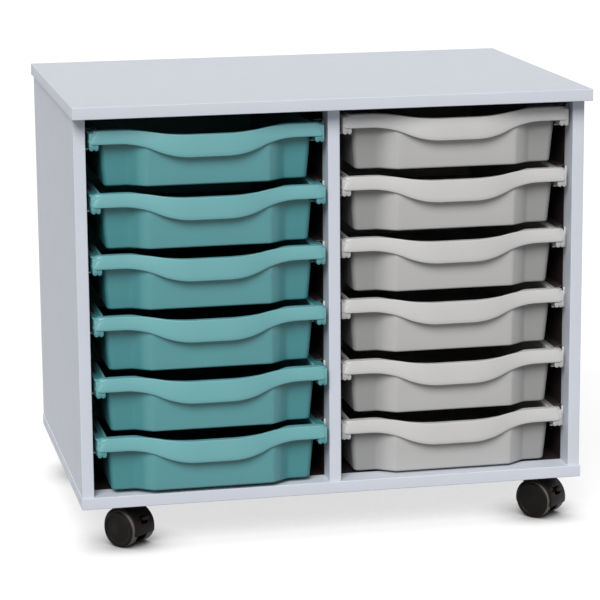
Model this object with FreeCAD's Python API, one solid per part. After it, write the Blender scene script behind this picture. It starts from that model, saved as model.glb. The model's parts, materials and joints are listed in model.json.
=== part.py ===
import FreeCAD, Part
import math
import os

# Mobile tray storage unit for a classroom. A carcass of melamine-faced board has two bays. Each bay
# holds a column of shallow moulded trays, whose rims slide in plastic runners screwed to the panels,
# and the carcass stands on four twin-wheel swivel casters, the front two with brakes.
# Millimetres. +X is to the right, +Y to the back, +Z up. The origin is on the floor under the
# middle of the top panel. Trays lie at rest as far out as they were left, not all pushed home.

V = FreeCAD.Vector

# ---- trays, moulded in one piece
tray_width = 312.0  # over the rim
tray_length = 427.0  # from the middle of the handle to the back of the rim
tray_height = 75.0
tray_wall = 2.0
tray_draft_side = 7.0  # how much nearer the middle each side wall is at the floor
tray_draft_end = 3.0  # the same for the front and back walls
tray_body_corner = 8.0
tray_floor_round = 3.0
rim_side = 14.0  # from the rim's outer edge to the body's side wall, at the top
rim_front = 14.0  # from the handle's face to the front wall, at the ends
rim_back = 14.0
rim_thickness = 2.0
rim_drop = 2.0  # the side rims lie this much under the handle's top edge
rim_front_corner = 7.0
rim_back_corner = 14.0

handle_height = 17.7  # at the ends
handle_skin = 3.0
handle_bulge = 12.0  # the middle stands this much forward of the ends
handle_top_dip = 7.7  # the top edge sinks this much in the middle
handle_bottom_dip = 19.0  # and the lower edge this much
handle_flat_end = 38.0  # straight stretch at each end, from the rim's outer edge
handle_sway = 95.0  # length of the swept stretch between end and middle
handle_return = 8.0  # how far the handle turns round the corner along the side

body_bulge = 16.0  # the middle of the front wall stands this much forward of its ends
body_panel = 158.0  # width of that proud middle
body_sway = 27.0  # width of the step at each side of it

leg_thickness = 2.0  # two legs under each side rim ride on the runner
leg_inset = 1.0  # from the rim's outer edge to the outer leg
leg_spacing = 10.0  # outer faces of the two legs' same sides
leg_depth = 25.5  # from the handle's top edge to the legs' lower edges
leg_end_wall_depth = 22.0  # the wall that joins the two legs at the front reaches down this far
leg_back_gap = 9.0  # legs stop this much short of the rim's back edge

# ---- how the trays sit in the bays
rows = 6
bays = ("left", "right")
side_gap = 4.0  # from a tray's rim to the panel, each side
floor_gap = {"left": 5.8, "right": 3.2}  # under the lowest tray
row_gap = {"left": 6.7, "right": 8.8}  # between a tray's floor and the next tray's rim
head_gap = 10.8  # over the highest tray of the right bay
home_recess = 15.0  # behind the panels' front edges, when a tray is pushed home
home_gap = 2.0  # between a tray that is home and the back panel
tray_out = {  # how far each handle's ends stand in front of the panels' edges, lowest tray first
    "left": (9.7, 12.0, 7.4, 6.1, 8.7, 2.6),
    "right": (-12.6, -8.9, -11.8, -10.4, -6.6, -1.3),
}

# ---- carcass boards
board = 16.0
band = 2.0  # plastic edge band
band_round = 1.0
top_overhang_front = 25.0
top_overhang_side = 3.5
bottom_overhang_front = 3.5
bottom_overhang_side = 1.0
back_panel = 8.0
back_inset = 10.0  # from the back panel's rear face to the carcass's rear edge
groove_depth = 6.0
groove_gap = 0.2  # all round the back panel's edge in its groove
dowel_radius = 4.0
dowel_length = 28.0
dowel_in_board = 10.0  # how far it goes into the top or bottom panel's face
dowel_gap = 0.05
dowel_end_gap = 0.5
dowel_margin = 45.0  # from the panels' front and back edges to the outer dowels
dowels_per_joint = 3

# ---- runners, one moulded channel on each side of a tray
runner_wall = 1.6
runner_web = 2.0
runner_ledge = 18.0  # width of the lower flange that carries the legs
runner_lip = 11.0  # width of the upper flange
runner_leg_gap = 0.3  # under the legs
runner_rim_gap = 0.5  # over the rim
runner_front_gap = 2.0  # between the handle's return and the runner, when the tray is home
runner_back_gap = 4.0  # from the runner to the back panel
screw_radius = 1.75
screw_head_radius = 3.0
screw_head = 1.4
runner_screw_bite = 7.0  # depth in the board
screw_gap = 0.05
runner_screw_margin = 40.0  # from the runner's ends

# ---- twin-wheel casters
wheel_radius = 25.0
wheel_disc = 3.5  # thickness of the outer disc
wheel_disc_round = 1.2
tread_width = 14.0  # over the disc and the ring behind it
tread_wall = 3.5
wheel_width_over_pair = 48.0
hub_radius = 8.0
hood_web = 8.0
wheel_side_gap = 0.8  # between the web and each hub
axle_radius = 3.0
axle_gap = 0.05
axle_seat_gap = 0.02
hub_end_wall = 4.0  # blind end of the hub's bore, with the disc
hood_gap = 1.3  # between the tread and the hood's roof
hood_wall = 2.5
hood_width = 37.0
hood_skirt = 7.0  # how far the roof comes down below the axle
hood_foot_inset = 7.0  # the web's foot stays this much inside the tread
trail = 18.0  # from the swivel's axis back to the axle
swivel_radius = 4.0
swivel_gap = 0.05
swivel_boss_radius = 9.0
swivel_depth = 22.7  # of the pin in the boss
swivel_end_gap = 1.0
swivel_collar_radius = 7.0
swivel_collar = 1.5
swivel_face_gap = 0.3
roof_to_boss = 3.9  # the boss stands this much over the roof
plate_size = 42.0
plate_corner = 5.0
plate = 2.5
plate_hole_spacing = 30.0
caster_screw_radius = 2.0
caster_screw_head_radius = 3.8
caster_screw_head = 2.0
caster_screw_bite = 12.0
plate_hole_gap = 0.25
caster_inset_side = 55.0  # from the side panels' outer faces to the swivel axes
caster_inset_end = 49.0  # from the side panels' front and back edges
caster_turn = {  # degrees from trailing straight back
    "front_left": 221.0,
    "front_right": 221.0,
    "rear_left": 206.0,
    "rear_right": 236.0,
}
braked = ("front_left", "front_right")

# ---- brake levers on the front casters
brake_pivot_depth = 6.8  # from the hood's outer face
brake_pivot_angle = 35.0  # above the level, towards the trailing side
brake_hub_radius = 3.6
brake_width = 12.0
brake_side_gap = 0.4
brake_pin_radius = 1.8
brake_pin_gap = 0.05
brake_pin_reach = 3.0  # out of each side of the hub
brake_tongue = 12.5
brake_tongue_thickness = 3.2
brake_tongue_rise = 12.0  # degrees
brake_lip = 2.6
brake_shoe = 4.5
brake_shoe_width = 3.6
brake_ear = 3.0
brake_ear_radius = 4.4
brake_pocket_clearance = 1.5
brake_press = 16.0  # degrees from off to on

# ---- derived sizes
tray_depth_from_ends = tray_length - handle_bulge
inner_depth = home_recess + tray_depth_from_ends + home_gap
side_depth = inner_depth + back_panel + back_inset
bay_width = tray_width + 2 * side_gap
carcass_width = 2 * bay_width + 3 * board
side_height = floor_gap["right"] + rows * tray_height + (rows - 1) * row_gap["right"] + head_gap
top_width = carcass_width + 2 * top_overhang_side
top_depth = side_depth + top_overhang_front
bottom_width = carcass_width + 2 * bottom_overhang_side
bottom_depth = side_depth + bottom_overhang_front

hood_inner_radius = wheel_radius + hood_gap
hood_outer_radius = hood_inner_radius + hood_wall
brake_pivot_radius = hood_outer_radius - brake_pivot_depth  # from the axle
boss_top = wheel_radius + hood_outer_radius + roof_to_boss
plate_bottom = boss_top + swivel_face_gap + swivel_collar
caster_height = plate_bottom + plate

bottom_z = caster_height
floor_z = bottom_z + board  # upper face of the bottom panel
top_z = floor_z + side_height  # lower face of the top panel
total_height = top_z + board

back_y = top_depth / 2
side_front_y = back_y - side_depth
back_panel_front_y = side_front_y + inner_depth
top_front_y = back_y - top_depth
bottom_front_y = back_y - bottom_depth
home_y = side_front_y + home_recess  # handle ends' plane of a tray that is home
past = 1.0  # how far a cutting tool reaches past the face it cuts

leg_outer_x = tray_width / 2 - leg_inset
runner_front = home_y + handle_return + runner_front_gap
runner_length = back_panel_front_y - runner_back_gap - runner_front
ledge_back = rim_front + tray_wall  # the handle's top ledge ends here, behind the handle ends
runner_lip_front = home_y + ledge_back + runner_front_gap
runner_low = -leg_depth - runner_leg_gap - runner_wall  # from the handle's top edge
runner_high = -rim_drop + runner_rim_gap + runner_wall


# ---- drawing helpers


def box(x0, x1, y0, y1, z0, z1):
    """A block between two corners."""
    return Part.makeBox(x1 - x0, y1 - y0, z1 - z0, V(x0, y0, z0))


def rod(radius, start, end):
    """A round bar from one point to another."""
    return Part.makeCylinder(radius, (end - start).Length, start, end - start)


def plan(z):
    """Draws (u, v) as X and Y at one height."""
    return lambda u, v: V(u, v, z)


def elevation(y):
    """Draws (u, v) as X and Z in one upright plane."""
    return lambda u, v: V(u, y, v)


class Outline:
    """A closed outline of lines and arcs, drawn point by point in one plane."""

    def __init__(self, place, u, v):
        self.place = place
        self.first = (u, v)
        self.last = (u, v)
        self.edges = []

    def line(self, u, v):
        if math.hypot(u - self.last[0], v - self.last[1]) > 1e-7:
            self.edges.append(Part.LineSegment(self.place(*self.last), self.place(u, v)).toShape())
            self.last = (u, v)
        return self

    def arc(self, middle, end):
        points = [self.place(*self.last), self.place(*middle), self.place(*end)]
        self.edges.append(Part.Arc(*points).toShape())
        self.last = end
        return self

    def corner(self, centre, end, radius):
        """A quarter arc round centre to end."""
        half = ((self.last[0] + end[0]) / 2 - centre[0], (self.last[1] + end[1]) / 2 - centre[1])
        grow = radius / math.hypot(*half)
        return self.arc((centre[0] + half[0] * grow, centre[1] + half[1] * grow), end)

    def sway(self, u, v):
        """Two equal arcs that leave and arrive along the first direction."""
        u0, v0 = self.last
        du, dv = (u - u0) / 2, (v - v0) / 2
        radius = (du * du + dv * dv) / (2 * abs(dv))
        turn = math.asin(abs(du) / radius) / 2
        run = math.copysign(radius * math.sin(turn), du)
        rise = math.copysign(radius * (1 - math.cos(turn)), dv)
        self.arc((u0 + run, v0 + rise), (u0 + du, v0 + dv))
        return self.arc((u - run, v - rise), (u, v))

    def wire(self):
        """Closes the outline."""
        self.line(*self.first)
        return Part.Wire(self.edges)


def prism(wire, along):
    """The solid swept by a closed outline."""
    return Part.Face(wire).extrude(along)


def mirror_x(shape):
    return shape.mirror(V(0, 0, 0), V(1, 0, 0))


def one_solid(shape):
    """The joined shape without seams, as a plain solid."""
    clean = shape.removeSplitter()
    assert len(clean.Solids) == 1, "a piece fell apart"
    return clean.Solids[0]


def save(name, solids):
    """One piece, or a set of like pieces, goes to one file."""
    shape = solids[0] if len(solids) == 1 else Part.makeCompound(solids)
    assert all(s.isValid() for s in solids), name
    shape.exportStep("parts/" + name + ".step")


# ---- tray: x from its middle, y back from the handle ends' face, z from the handle's top edge


def tray_outline(place, half, front, back, bulge, panel, sway, front_corner, back_corner):
    """Plan of a tray: a rounded oblong whose front swells forward in the middle."""
    inner, outer = panel / 2, panel / 2 + sway
    o = Outline(place, -half + front_corner, front)
    o.line(-outer, front).sway(-inner, front - bulge).line(inner, front - bulge).sway(outer, front)
    o.line(half - front_corner, front)
    o.corner((half - front_corner, front + front_corner), (half, front + front_corner), front_corner)
    o.line(half, back - back_corner)
    o.corner((half - back_corner, back - back_corner), (half - back_corner, back), back_corner)
    o.line(-half + back_corner, back)
    o.corner((-half + back_corner, back - back_corner), (-half, back - back_corner), back_corner)
    o.line(-half, front + front_corner)
    o.corner(
        (-half + front_corner, front + front_corner), (-half + front_corner, front), front_corner
    )
    return o.wire()


def rim_outline(z, inset):
    """Plan of the rim's outer edge, or of a line inside it."""
    middle = tray_width - 2 * handle_flat_end - 2 * handle_sway
    return tray_outline(
        plan(z),
        tray_width / 2 - inset,
        inset,
        tray_depth_from_ends - inset,
        handle_bulge,
        middle,
        handle_sway,
        rim_front_corner - inset,
        rim_back_corner - inset,
    )


def body_outline(z, draft_share, inset):
    """Plan of the body's wall at one height, where draft_share goes from 0 at the top to 1 at the floor."""
    side = draft_share * tray_draft_side + inset
    end = draft_share * tray_draft_end + inset
    return tray_outline(
        plan(z),
        tray_width / 2 - rim_side - side,
        rim_front + end,
        tray_depth_from_ends - rim_back - end,
        body_bulge,
        body_panel - inset,
        body_sway,
        tray_body_corner - inset,
        tray_body_corner - inset,
    )


def wave(lower, dip, upper):
    """Elevation of the space between a level that sinks in the middle and a flat level over it."""
    half = tray_width
    outer = tray_width / 2 - handle_flat_end
    inner = outer - handle_sway
    o = Outline(elevation(-tray_width), -half, upper)
    o.line(-half, lower).line(-outer, lower).sway(-inner, lower - dip)
    o.line(inner, lower - dip).sway(outer, lower).line(half, lower).line(half, upper)
    return o.wire()


def wave_block(lower, dip, upper, back):
    """That space as a block that ends at y = back."""
    return prism(wave(lower, dip, upper), V(0, tray_width + back, 0))


def tray_body():
    """The tapered box under the rim, open at the top."""
    floor = -tray_height
    outer = Part.makeLoft([body_outline(floor, 1, 0), body_outline(0, 0, 0)], True, True)
    low_edges = [e for e in outer.Edges if abs(e.BoundBox.ZMax - floor) < 1e-6]
    outer = outer.makeFillet(tray_floor_round, low_edges)
    inner_floor = floor + tray_wall
    share = inner_floor / floor
    inner = Part.makeLoft(
        [body_outline(inner_floor, share, tray_wall), body_outline(0, 0, tray_wall)], True, True
    )
    low_edges = [e for e in inner.Edges if abs(e.BoundBox.ZMax - inner_floor) < 1e-6]
    inner = inner.makeFillet(tray_floor_round - tray_wall, low_edges)
    return outer.cut(inner)


def tray_shape():
    """A whole tray: body, rims, legs and the wavy handle that hangs in front of the body."""
    half = tray_width / 2
    depth = handle_height + handle_bottom_dip
    opening = prism(body_outline(-2 * depth, 0, tray_wall), V(0, 0, 4 * depth))
    rim_block = prism(rim_outline(-depth, 0), V(0, 0, depth)).cut(opening)
    over_wave = wave_block(0, handle_top_dip, 2 * depth, ledge_back)
    over_ledge = wave_block(-rim_thickness, handle_top_dip, 2 * depth, ledge_back)
    over_edge = wave_block(-handle_height, handle_bottom_dip, 2 * depth, handle_return)

    ledge = rim_block.common(over_ledge).cut(over_wave)
    hollow = prism(rim_outline(-2 * depth, handle_skin), V(0, 0, 4 * depth))
    handle = rim_block.cut(hollow).common(over_edge).cut(over_wave)
    side_rim = box(
        -half, half, handle_skin, tray_length, -rim_drop - rim_thickness, -rim_drop
    ).common(rim_block)
    body = tray_body().cut(over_wave)
    body = body.cut(box(-half, half, ledge_back, tray_length, -rim_drop, past))

    leg_back = tray_depth_from_ends - leg_back_gap
    legs = []
    for outer_x in (leg_outer_x, leg_outer_x - leg_spacing):
        reach = (handle_skin, leg_back, -leg_depth, -rim_drop - rim_thickness)
        legs.append(box(outer_x - leg_thickness, outer_x, *reach))
    legs.append(
        box(
            leg_outer_x - leg_spacing,
            leg_outer_x,
            handle_skin,
            handle_skin + leg_thickness,
            -leg_end_wall_depth,
            -rim_drop,
        )
    )
    legs += [mirror_x(leg) for leg in legs]
    side_rim = side_rim.cut(prism(wave(0, handle_top_dip, past), V(0, tray_width + ledge_back, 0)))
    return one_solid(body.fuse([ledge, handle, side_rim] + legs))


def bay_x(bay):
    """The middle of a bay."""
    offset = (bay_width + board) / 2
    return -offset if bay == "left" else offset


def row_top(bay, row):
    """Height of the top edge of a tray's handle, counting rows from the lowest, 0."""
    first = floor_z + floor_gap[bay] + tray_height
    return first + row * (tray_height + row_gap[bay])


def tray_place(bay, row):
    """Where a tray's own origin lies in the unit."""
    return V(bay_x(bay), side_front_y - tray_out[bay][row], row_top(bay, row))


# ---- runner: the same origin as its tray, on the right-hand panel of a bay


def runner_shape():
    """A channel with a lower ledge for the tray's legs and an upper lip over its rim."""
    wall = bay_width / 2
    back = runner_front + runner_length
    web = box(wall - runner_web, wall, runner_front, back, runner_low, runner_high)
    ledge = box(
        wall - runner_ledge, wall, runner_front, back, runner_low, runner_low + runner_wall
    )
    lip_low = runner_high - runner_wall
    lip = box(wall - runner_lip, wall, runner_lip_front, back, lip_low, runner_high)
    channel = one_solid(web.fuse([ledge, lip]))
    for y in runner_screw_rows():
        start = V(wall - runner_web - past, y, screw_z())
        end = V(wall + past, y, screw_z())
        channel = channel.cut(rod(screw_radius + screw_gap, start, end))
    return channel


def runner_screw_rows():
    """Places of the two screws along a runner."""
    back = runner_front + runner_length
    return (runner_front + runner_screw_margin, back - runner_screw_margin)


def screw_z():
    """Height of the runner screws from the handle's top edge."""
    return (runner_low + runner_high) / 2


def runner_screw(y):
    """A pan-head screw that holds a runner on the right-hand panel of a bay."""
    under_head = V(bay_width / 2 - runner_web, y, screw_z())
    head_end = under_head - V(screw_head, 0, 0)
    tip = V(bay_width / 2 + runner_screw_bite, y, screw_z())
    shank = rod(screw_radius, head_end, tip)
    return one_solid(shank.fuse(rod(screw_head_radius, head_end, under_head)))


def runner_screw_hole(y):
    """The hole for that screw in the panel."""
    radius = screw_radius + screw_gap
    start = bay_width / 2 - past
    end = bay_width / 2 + runner_screw_bite + dowel_end_gap
    return rod(radius, V(start, y, screw_z()), V(end, y, screw_z()))


def both_sides(shape):
    """A piece of the right-hand panel of a bay, and its twin on the left-hand panel."""
    return [shape, mirror_x(shape)]


def in_rows(shapes):
    """Copies of a bay's pieces at every row of both bays."""
    copies = []
    for bay in bays:
        for row in range(rows):
            for shape in shapes:
                copies.append(shape.translated(V(bay_x(bay), 0, row_top(bay, row))))
    return copies


# ---- carcass


def panel_positions():
    """Left edges of the three upright panels: left side, divider, right side."""
    left = -carcass_width / 2
    return (left, left + board + bay_width, left + 2 * (board + bay_width))


def dowel_spots():
    """(x, y) of every dowel, at each upright panel."""
    first = side_front_y + dowel_margin
    step = (back_panel_front_y - dowel_margin - first) / (dowels_per_joint - 1)
    return [(x + board / 2, first + n * step) for x in panel_positions() for n in range(dowels_per_joint)]


def dowels():
    """Dowels in the bottom joints, then in the top joints."""
    pieces = []
    for x, y in dowel_spots():
        low = V(x, y, floor_z - dowel_in_board)
        pieces.append(rod(dowel_radius, low, low + V(0, 0, dowel_length)))
        high = V(x, y, top_z + dowel_in_board)
        pieces.append(rod(dowel_radius, high - V(0, 0, dowel_length), high))
    return pieces


def dowel_holes():
    """The holes that the dowels are glued in."""
    radius = dowel_radius + dowel_gap
    reach = dowel_length - dowel_in_board + dowel_end_gap
    holes = []
    for x, y in dowel_spots():
        holes.append(rod(radius, V(x, y, floor_z - dowel_in_board), V(x, y, floor_z + reach)))
        holes.append(rod(radius, V(x, y, top_z - reach), V(x, y, top_z + dowel_in_board)))
    return holes


def back_groove():
    """The space that the grooves leave for the back panel's edges."""
    half = carcass_width / 2 - board + groove_depth
    return box(
        -half,
        half,
        back_panel_front_y,
        back_panel_front_y + back_panel + groove_gap,
        floor_z - groove_depth,
        top_z + groove_depth,
    )


def banded(x0, x1, y0, y1, z0, z1, sides):
    """A board with edge bands on the named sides: its core, and the bands."""
    bands = []
    if "front" in sides:
        bands.append(rounded_band(box(x0, x1, y0, y0 + band, z0, z1), V(0, -1, 0)))
        y0 += band
    if "back" in sides:
        bands.append(rounded_band(box(x0, x1, y1 - band, y1, z0, z1), V(0, 1, 0)))
        y1 -= band
    if "left" in sides:
        bands.append(rounded_band(box(x0, x0 + band, y0, y1, z0, z1), V(-1, 0, 0)))
        x0 += band
    if "right" in sides:
        bands.append(rounded_band(box(x1 - band, x1, y0, y1, z0, z1), V(1, 0, 0)))
        x1 -= band
    return box(x0, x1, y0, y1, z0, z1), bands


def rounded_band(strip, outward):
    """A strip with its two long outer edges rounded."""
    longest = max(strip.BoundBox.XLength, strip.BoundBox.YLength, strip.BoundBox.ZLength)
    middle = strip.BoundBox.Center
    outer = [e for e in strip.Edges if (e.CenterOfMass - middle).dot(outward) > band * 0.4]
    return strip.makeFillet(band_round, [e for e in outer if abs(e.Length - longest) < 1e-6])


def cut_all(shape, tools):
    """The shape with each tool that reaches it cut away."""
    near = [t for t in tools if t.BoundBox.intersect(shape.BoundBox)]
    return one_solid(shape.cut(near))


def carcass():
    """Every board with its bands, keyed by node name."""
    half = carcass_width / 2
    left_x, divider_x, right_x = panel_positions()
    holes = dowel_holes() + [back_groove()]
    runner_holes = in_rows(
        [hole for y in runner_screw_rows() for hole in both_sides(runner_screw_hole(y))]
    )
    top, top_bands = banded(
        -top_width / 2, top_width / 2, top_front_y, back_y, top_z, total_height,
        ("front", "back", "left", "right"),
    )
    bottom, bottom_bands = banded(
        -bottom_width / 2, bottom_width / 2, bottom_front_y, back_y, bottom_z, floor_z,
        ("front", "back", "left", "right"),
    )
    upright = (side_front_y, back_y, floor_z, top_z, ("front", "back"))
    left, left_bands = banded(left_x, left_x + board, *upright)
    right, right_bands = banded(right_x, right_x + board, *upright)
    divider, divider_bands = banded(
        divider_x, divider_x + board, side_front_y, back_panel_front_y, floor_z, top_z, ("front",)
    )
    edge = half - board + groove_depth - groove_gap
    back = box(
        -edge,
        edge,
        back_panel_front_y,
        back_panel_front_y + back_panel,
        floor_z - groove_depth + groove_gap,
        top_z + groove_depth - groove_gap,
    )
    return {
        "top_panel": [cut_all(top, holes)],
        "bottom_panel": [cut_all(bottom, holes + caster_screw_holes())],
        "left_side_panel": [cut_all(left, holes + runner_holes)],
        "right_side_panel": [cut_all(right, holes + runner_holes)],
        "centre_divider": [cut_all(divider, dowel_holes() + runner_holes)],
        "back_panel": [back],
        "top_edge_bands": top_bands,
        "bottom_edge_bands": bottom_bands,
        "side_edge_bands": left_bands + right_bands,
        "divider_edge_band": divider_bands,
        "carcass_dowels": dowels(),
    }


# ---- caster: origin on the floor under the swivel's axis, trailing towards +Y


def about_axle(radius, x0, x1):
    """A disc or bar round the axle."""
    return rod(radius, V(x0, trail, wheel_radius), V(x1, trail, wheel_radius))


def brake_pivot():
    """The middle of the lever's pins."""
    angle = math.radians(brake_pivot_angle)
    return V(
        0,
        trail + brake_pivot_radius * math.cos(angle),
        wheel_radius + brake_pivot_radius * math.sin(angle),
    )


def caster_plate():
    """Steel plate with its riveted swivel pin and collar."""
    half = plate_size / 2
    sheet = box(-half, half, -half, half, plate_bottom, caster_height)
    upright = [e for e in sheet.Edges if abs(e.BoundBox.ZLength - plate) < 1e-6]
    sheet = sheet.makeFillet(plate_corner, upright)
    radius = caster_screw_radius + plate_hole_gap
    for x, y in plate_holes():
        sheet = sheet.cut(rod(radius, V(x, y, plate_bottom - past), V(x, y, caster_height + past)))
    collar = rod(swivel_collar_radius, V(0, 0, plate_bottom - swivel_collar), V(0, 0, plate_bottom))
    pin = rod(swivel_radius, V(0, 0, boss_top - swivel_depth), V(0, 0, plate_bottom))
    return one_solid(sheet.fuse([collar, pin]))


def plate_holes():
    """(x, y) of a caster plate's four screw holes."""
    half = plate_hole_spacing / 2
    return [(x, y) for x in (-half, half) for y in (-half, half)]


def caster_hood(with_brake):
    """Moulded hood: a web between the wheels, a roof over them and the swivel's boss."""
    half_web = hood_web / 2
    half_roof = hood_width / 2
    low = wheel_radius - hood_skirt
    wide = 2 * hood_outer_radius
    below = box(-wide, wide, trail - wide, trail + wide, low - wide, low)
    roof = about_axle(hood_outer_radius, -half_roof, half_roof)
    roof = roof.cut(about_axle(hood_inner_radius, -half_roof - past, half_roof + past)).cut(below)
    web = about_axle(hood_inner_radius + hood_wall / 2, -half_web, half_web).cut(below)
    foot = about_axle(wheel_radius - hood_foot_inset, -half_web, half_web)
    boss_low = boss_top - swivel_depth - swivel_end_gap - hood_wall
    boss = rod(swivel_boss_radius, V(0, 0, boss_low), V(0, 0, boss_top))
    hood = roof.fuse([web, foot, boss])
    if with_brake:
        hood = hood.cut(brake_pocket()).fuse(brake_ears())
        pin = brake_width / 2 + brake_side_gap + brake_ear + past
        pivot = brake_pivot()
        radius = brake_pin_radius + brake_pin_gap
        hood = hood.cut(rod(radius, pivot - V(pin, 0, 0), pivot + V(pin, 0, 0)))
    hood = hood.cut(about_axle(axle_radius + axle_seat_gap, -half_web - past, half_web + past))
    bore = rod(
        swivel_radius + swivel_gap,
        V(0, 0, boss_top - swivel_depth - swivel_end_gap),
        V(0, 0, boss_top + past),
    )
    return one_solid(hood.cut(bore))


def brake_pocket():
    """The slot in the web and roof that the lever moves in."""
    half = brake_width / 2 + brake_side_gap
    pivot = brake_pivot()
    room = brake_hub_radius + brake_pocket_clearance
    inward = brake_shoe + brake_shoe_width / 2 + brake_pocket_clearance
    return box(-half, half, pivot.y - inward, pivot.y + 2 * wheel_radius, pivot.z - room, pivot.z + room)


def brake_ears():
    """Lugs at both sides of the slot that hold the lever's pins, hung from the roof."""
    pivot = brake_pivot()
    inner = brake_width / 2 + brake_side_gap
    outer = inner + brake_ear
    lug = rod(brake_ear_radius, pivot + V(inner, 0, 0), pivot + V(outer, 0, 0))
    hanger = box(
        inner,
        outer,
        pivot.y - brake_ear_radius,
        pivot.y + brake_ear_radius,
        pivot.z,
        pivot.z + wheel_radius,
    ).common(about_axle(hood_inner_radius + hood_wall / 2, inner, outer))
    ear = lug.fuse(hanger).common(about_axle(hood_outer_radius, inner, outer))
    return [ear, mirror_x(ear)]


def brake_lever():
    """Foot lever with its own pins, a tongue outside the hood and a shoe inside it."""
    pivot = brake_pivot()
    half = brake_width / 2
    reach = half + brake_pin_reach
    hub = rod(brake_hub_radius, pivot - V(half, 0, 0), pivot + V(half, 0, 0))
    pins = rod(brake_pin_radius, pivot - V(reach, 0, 0), pivot + V(reach, 0, 0))
    half_thick = brake_tongue_thickness / 2
    tongue = box(
        -half, half, pivot.y, pivot.y + brake_tongue, pivot.z - half_thick, pivot.z + half_thick
    )
    tip = pivot.y + brake_tongue
    lip = box(
        -half, half, tip - brake_lip, tip, pivot.z - half_thick, pivot.z + half_thick + brake_lip / 2
    )
    tongue = tongue.fuse(lip)
    tongue.rotate(pivot, V(1, 0, 0), brake_tongue_rise)
    half_shoe = brake_shoe_width / 2
    shoe = box(
        -half, half, pivot.y - brake_shoe, pivot.y, pivot.z - half_shoe, pivot.z + half_shoe
    )
    shoe.rotate(pivot, V(1, 0, 0), brake_pivot_angle)
    return one_solid(hub.fuse([pins, tongue, shoe]))


def caster_axle():
    """Plain steel rod that both wheels turn on."""
    end = wheel_width_over_pair / 2 - hub_end_wall - axle_gap
    return about_axle(axle_radius, -end, end)


def caster_wheel():
    """The wheel on the +X side: an outer disc, a ring behind it and a hub with a blind bore."""
    out = wheel_width_over_pair / 2
    disc = about_axle(wheel_radius, out - wheel_disc, out)
    rim_edge = [e for e in disc.Edges if abs(e.BoundBox.XMin - out) < 1e-4 and e.BoundBox.XLength < 1e-4]
    disc = disc.makeFillet(wheel_disc_round, rim_edge)
    ring = about_axle(wheel_radius, out - tread_width, out - wheel_disc)
    ring = ring.cut(about_axle(wheel_radius - tread_wall, out - tread_width, out - wheel_disc))
    hub = about_axle(hub_radius, hood_web / 2 + wheel_side_gap, out - wheel_disc)
    bore = about_axle(axle_radius + axle_gap, 0, out - hub_end_wall)
    return one_solid(disc.fuse([ring, hub]).cut(bore))


def caster_screws():
    """Screws up through a caster's plate into the bottom panel."""
    screws = []
    for x, y in plate_holes():
        head = V(x, y, plate_bottom)
        cap = rod(caster_screw_head_radius, head - V(0, 0, caster_screw_head), head)
        shank = rod(caster_screw_radius, head, V(x, y, caster_height + caster_screw_bite))
        screws.append(one_solid(cap.fuse(shank)))
    return screws


def caster_place(name):
    """The point on the floor under a caster's swivel axis."""
    end, side = name.split("_")
    x = carcass_width / 2 - caster_inset_side
    y = side_front_y + caster_inset_end if end == "front" else back_y - caster_inset_end
    return V(-x if side == "left" else x, y, 0)


def put_caster(shape, name, turned):
    """A caster's piece in its place, turned with the swivel or square to the carcass."""
    placed = shape.copy()
    if turned:
        placed.rotate(V(0, 0, 0), V(0, 0, 1), caster_turn[name])
    placed.translate(caster_place(name))
    return placed


def caster_screw_holes():
    radius = caster_screw_radius + screw_gap
    end = caster_height + caster_screw_bite + dowel_end_gap
    hole = [rod(radius, V(x, y, caster_height - past), V(x, y, end)) for x, y in plate_holes()]
    return [put_caster(h, name, False) for name in caster_turn for h in hole]


# ---- the whole unit


def build():
    """Every node's solids, keyed by node name."""
    nodes = carcass()
    tray = tray_shape()
    runners = both_sides(runner_shape())
    for bay in bays:
        for row in range(rows):
            label = bay + "_" + str(rows - row)
            lift = V(bay_x(bay), 0, row_top(bay, row))
            nodes["tray_" + label] = [tray.translated(tray_place(bay, row))]
            nodes["runner_pair_" + label] = [r.translated(lift) for r in runners]
    nodes["runner_screws"] = in_rows(
        [screw for y in runner_screw_rows() for screw in both_sides(runner_screw(y))]
    )
    wheel = caster_wheel()
    for name in caster_turn:
        nodes["caster_plate_" + name] = [put_caster(caster_plate(), name, False)]
        nodes["caster_hood_" + name] = [put_caster(caster_hood(name in braked), name, True)]
        nodes["caster_axle_" + name] = [put_caster(caster_axle(), name, True)]
        nodes["caster_wheel_a_" + name] = [put_caster(wheel, name, True)]
        nodes["caster_wheel_b_" + name] = [put_caster(mirror_x(wheel), name, True)]
        if name in braked:
            nodes["brake_lever_" + name] = [put_caster(brake_lever(), name, True)]
    nodes["caster_screws"] = [
        put_caster(screw, name, False) for name in caster_turn for screw in caster_screws()
    ]
    return nodes


os.makedirs("parts", exist_ok=True)
for node, solids in build().items():
    save(node, solids)
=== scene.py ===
"""Mobile tray storage unit for a classroom: boards, trays, runners and casters round the fixed CAD frame.

Every length is in metres, in the frame of the CAD model: +X right, +Y back, +Z up, floor at 0.
"""

import json
import math
from collections import namedtuple

import bmesh
import bpy
from bpy.props import FloatProperty, FloatVectorProperty, IntProperty, PointerProperty
from mathutils import Matrix, Vector


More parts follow.
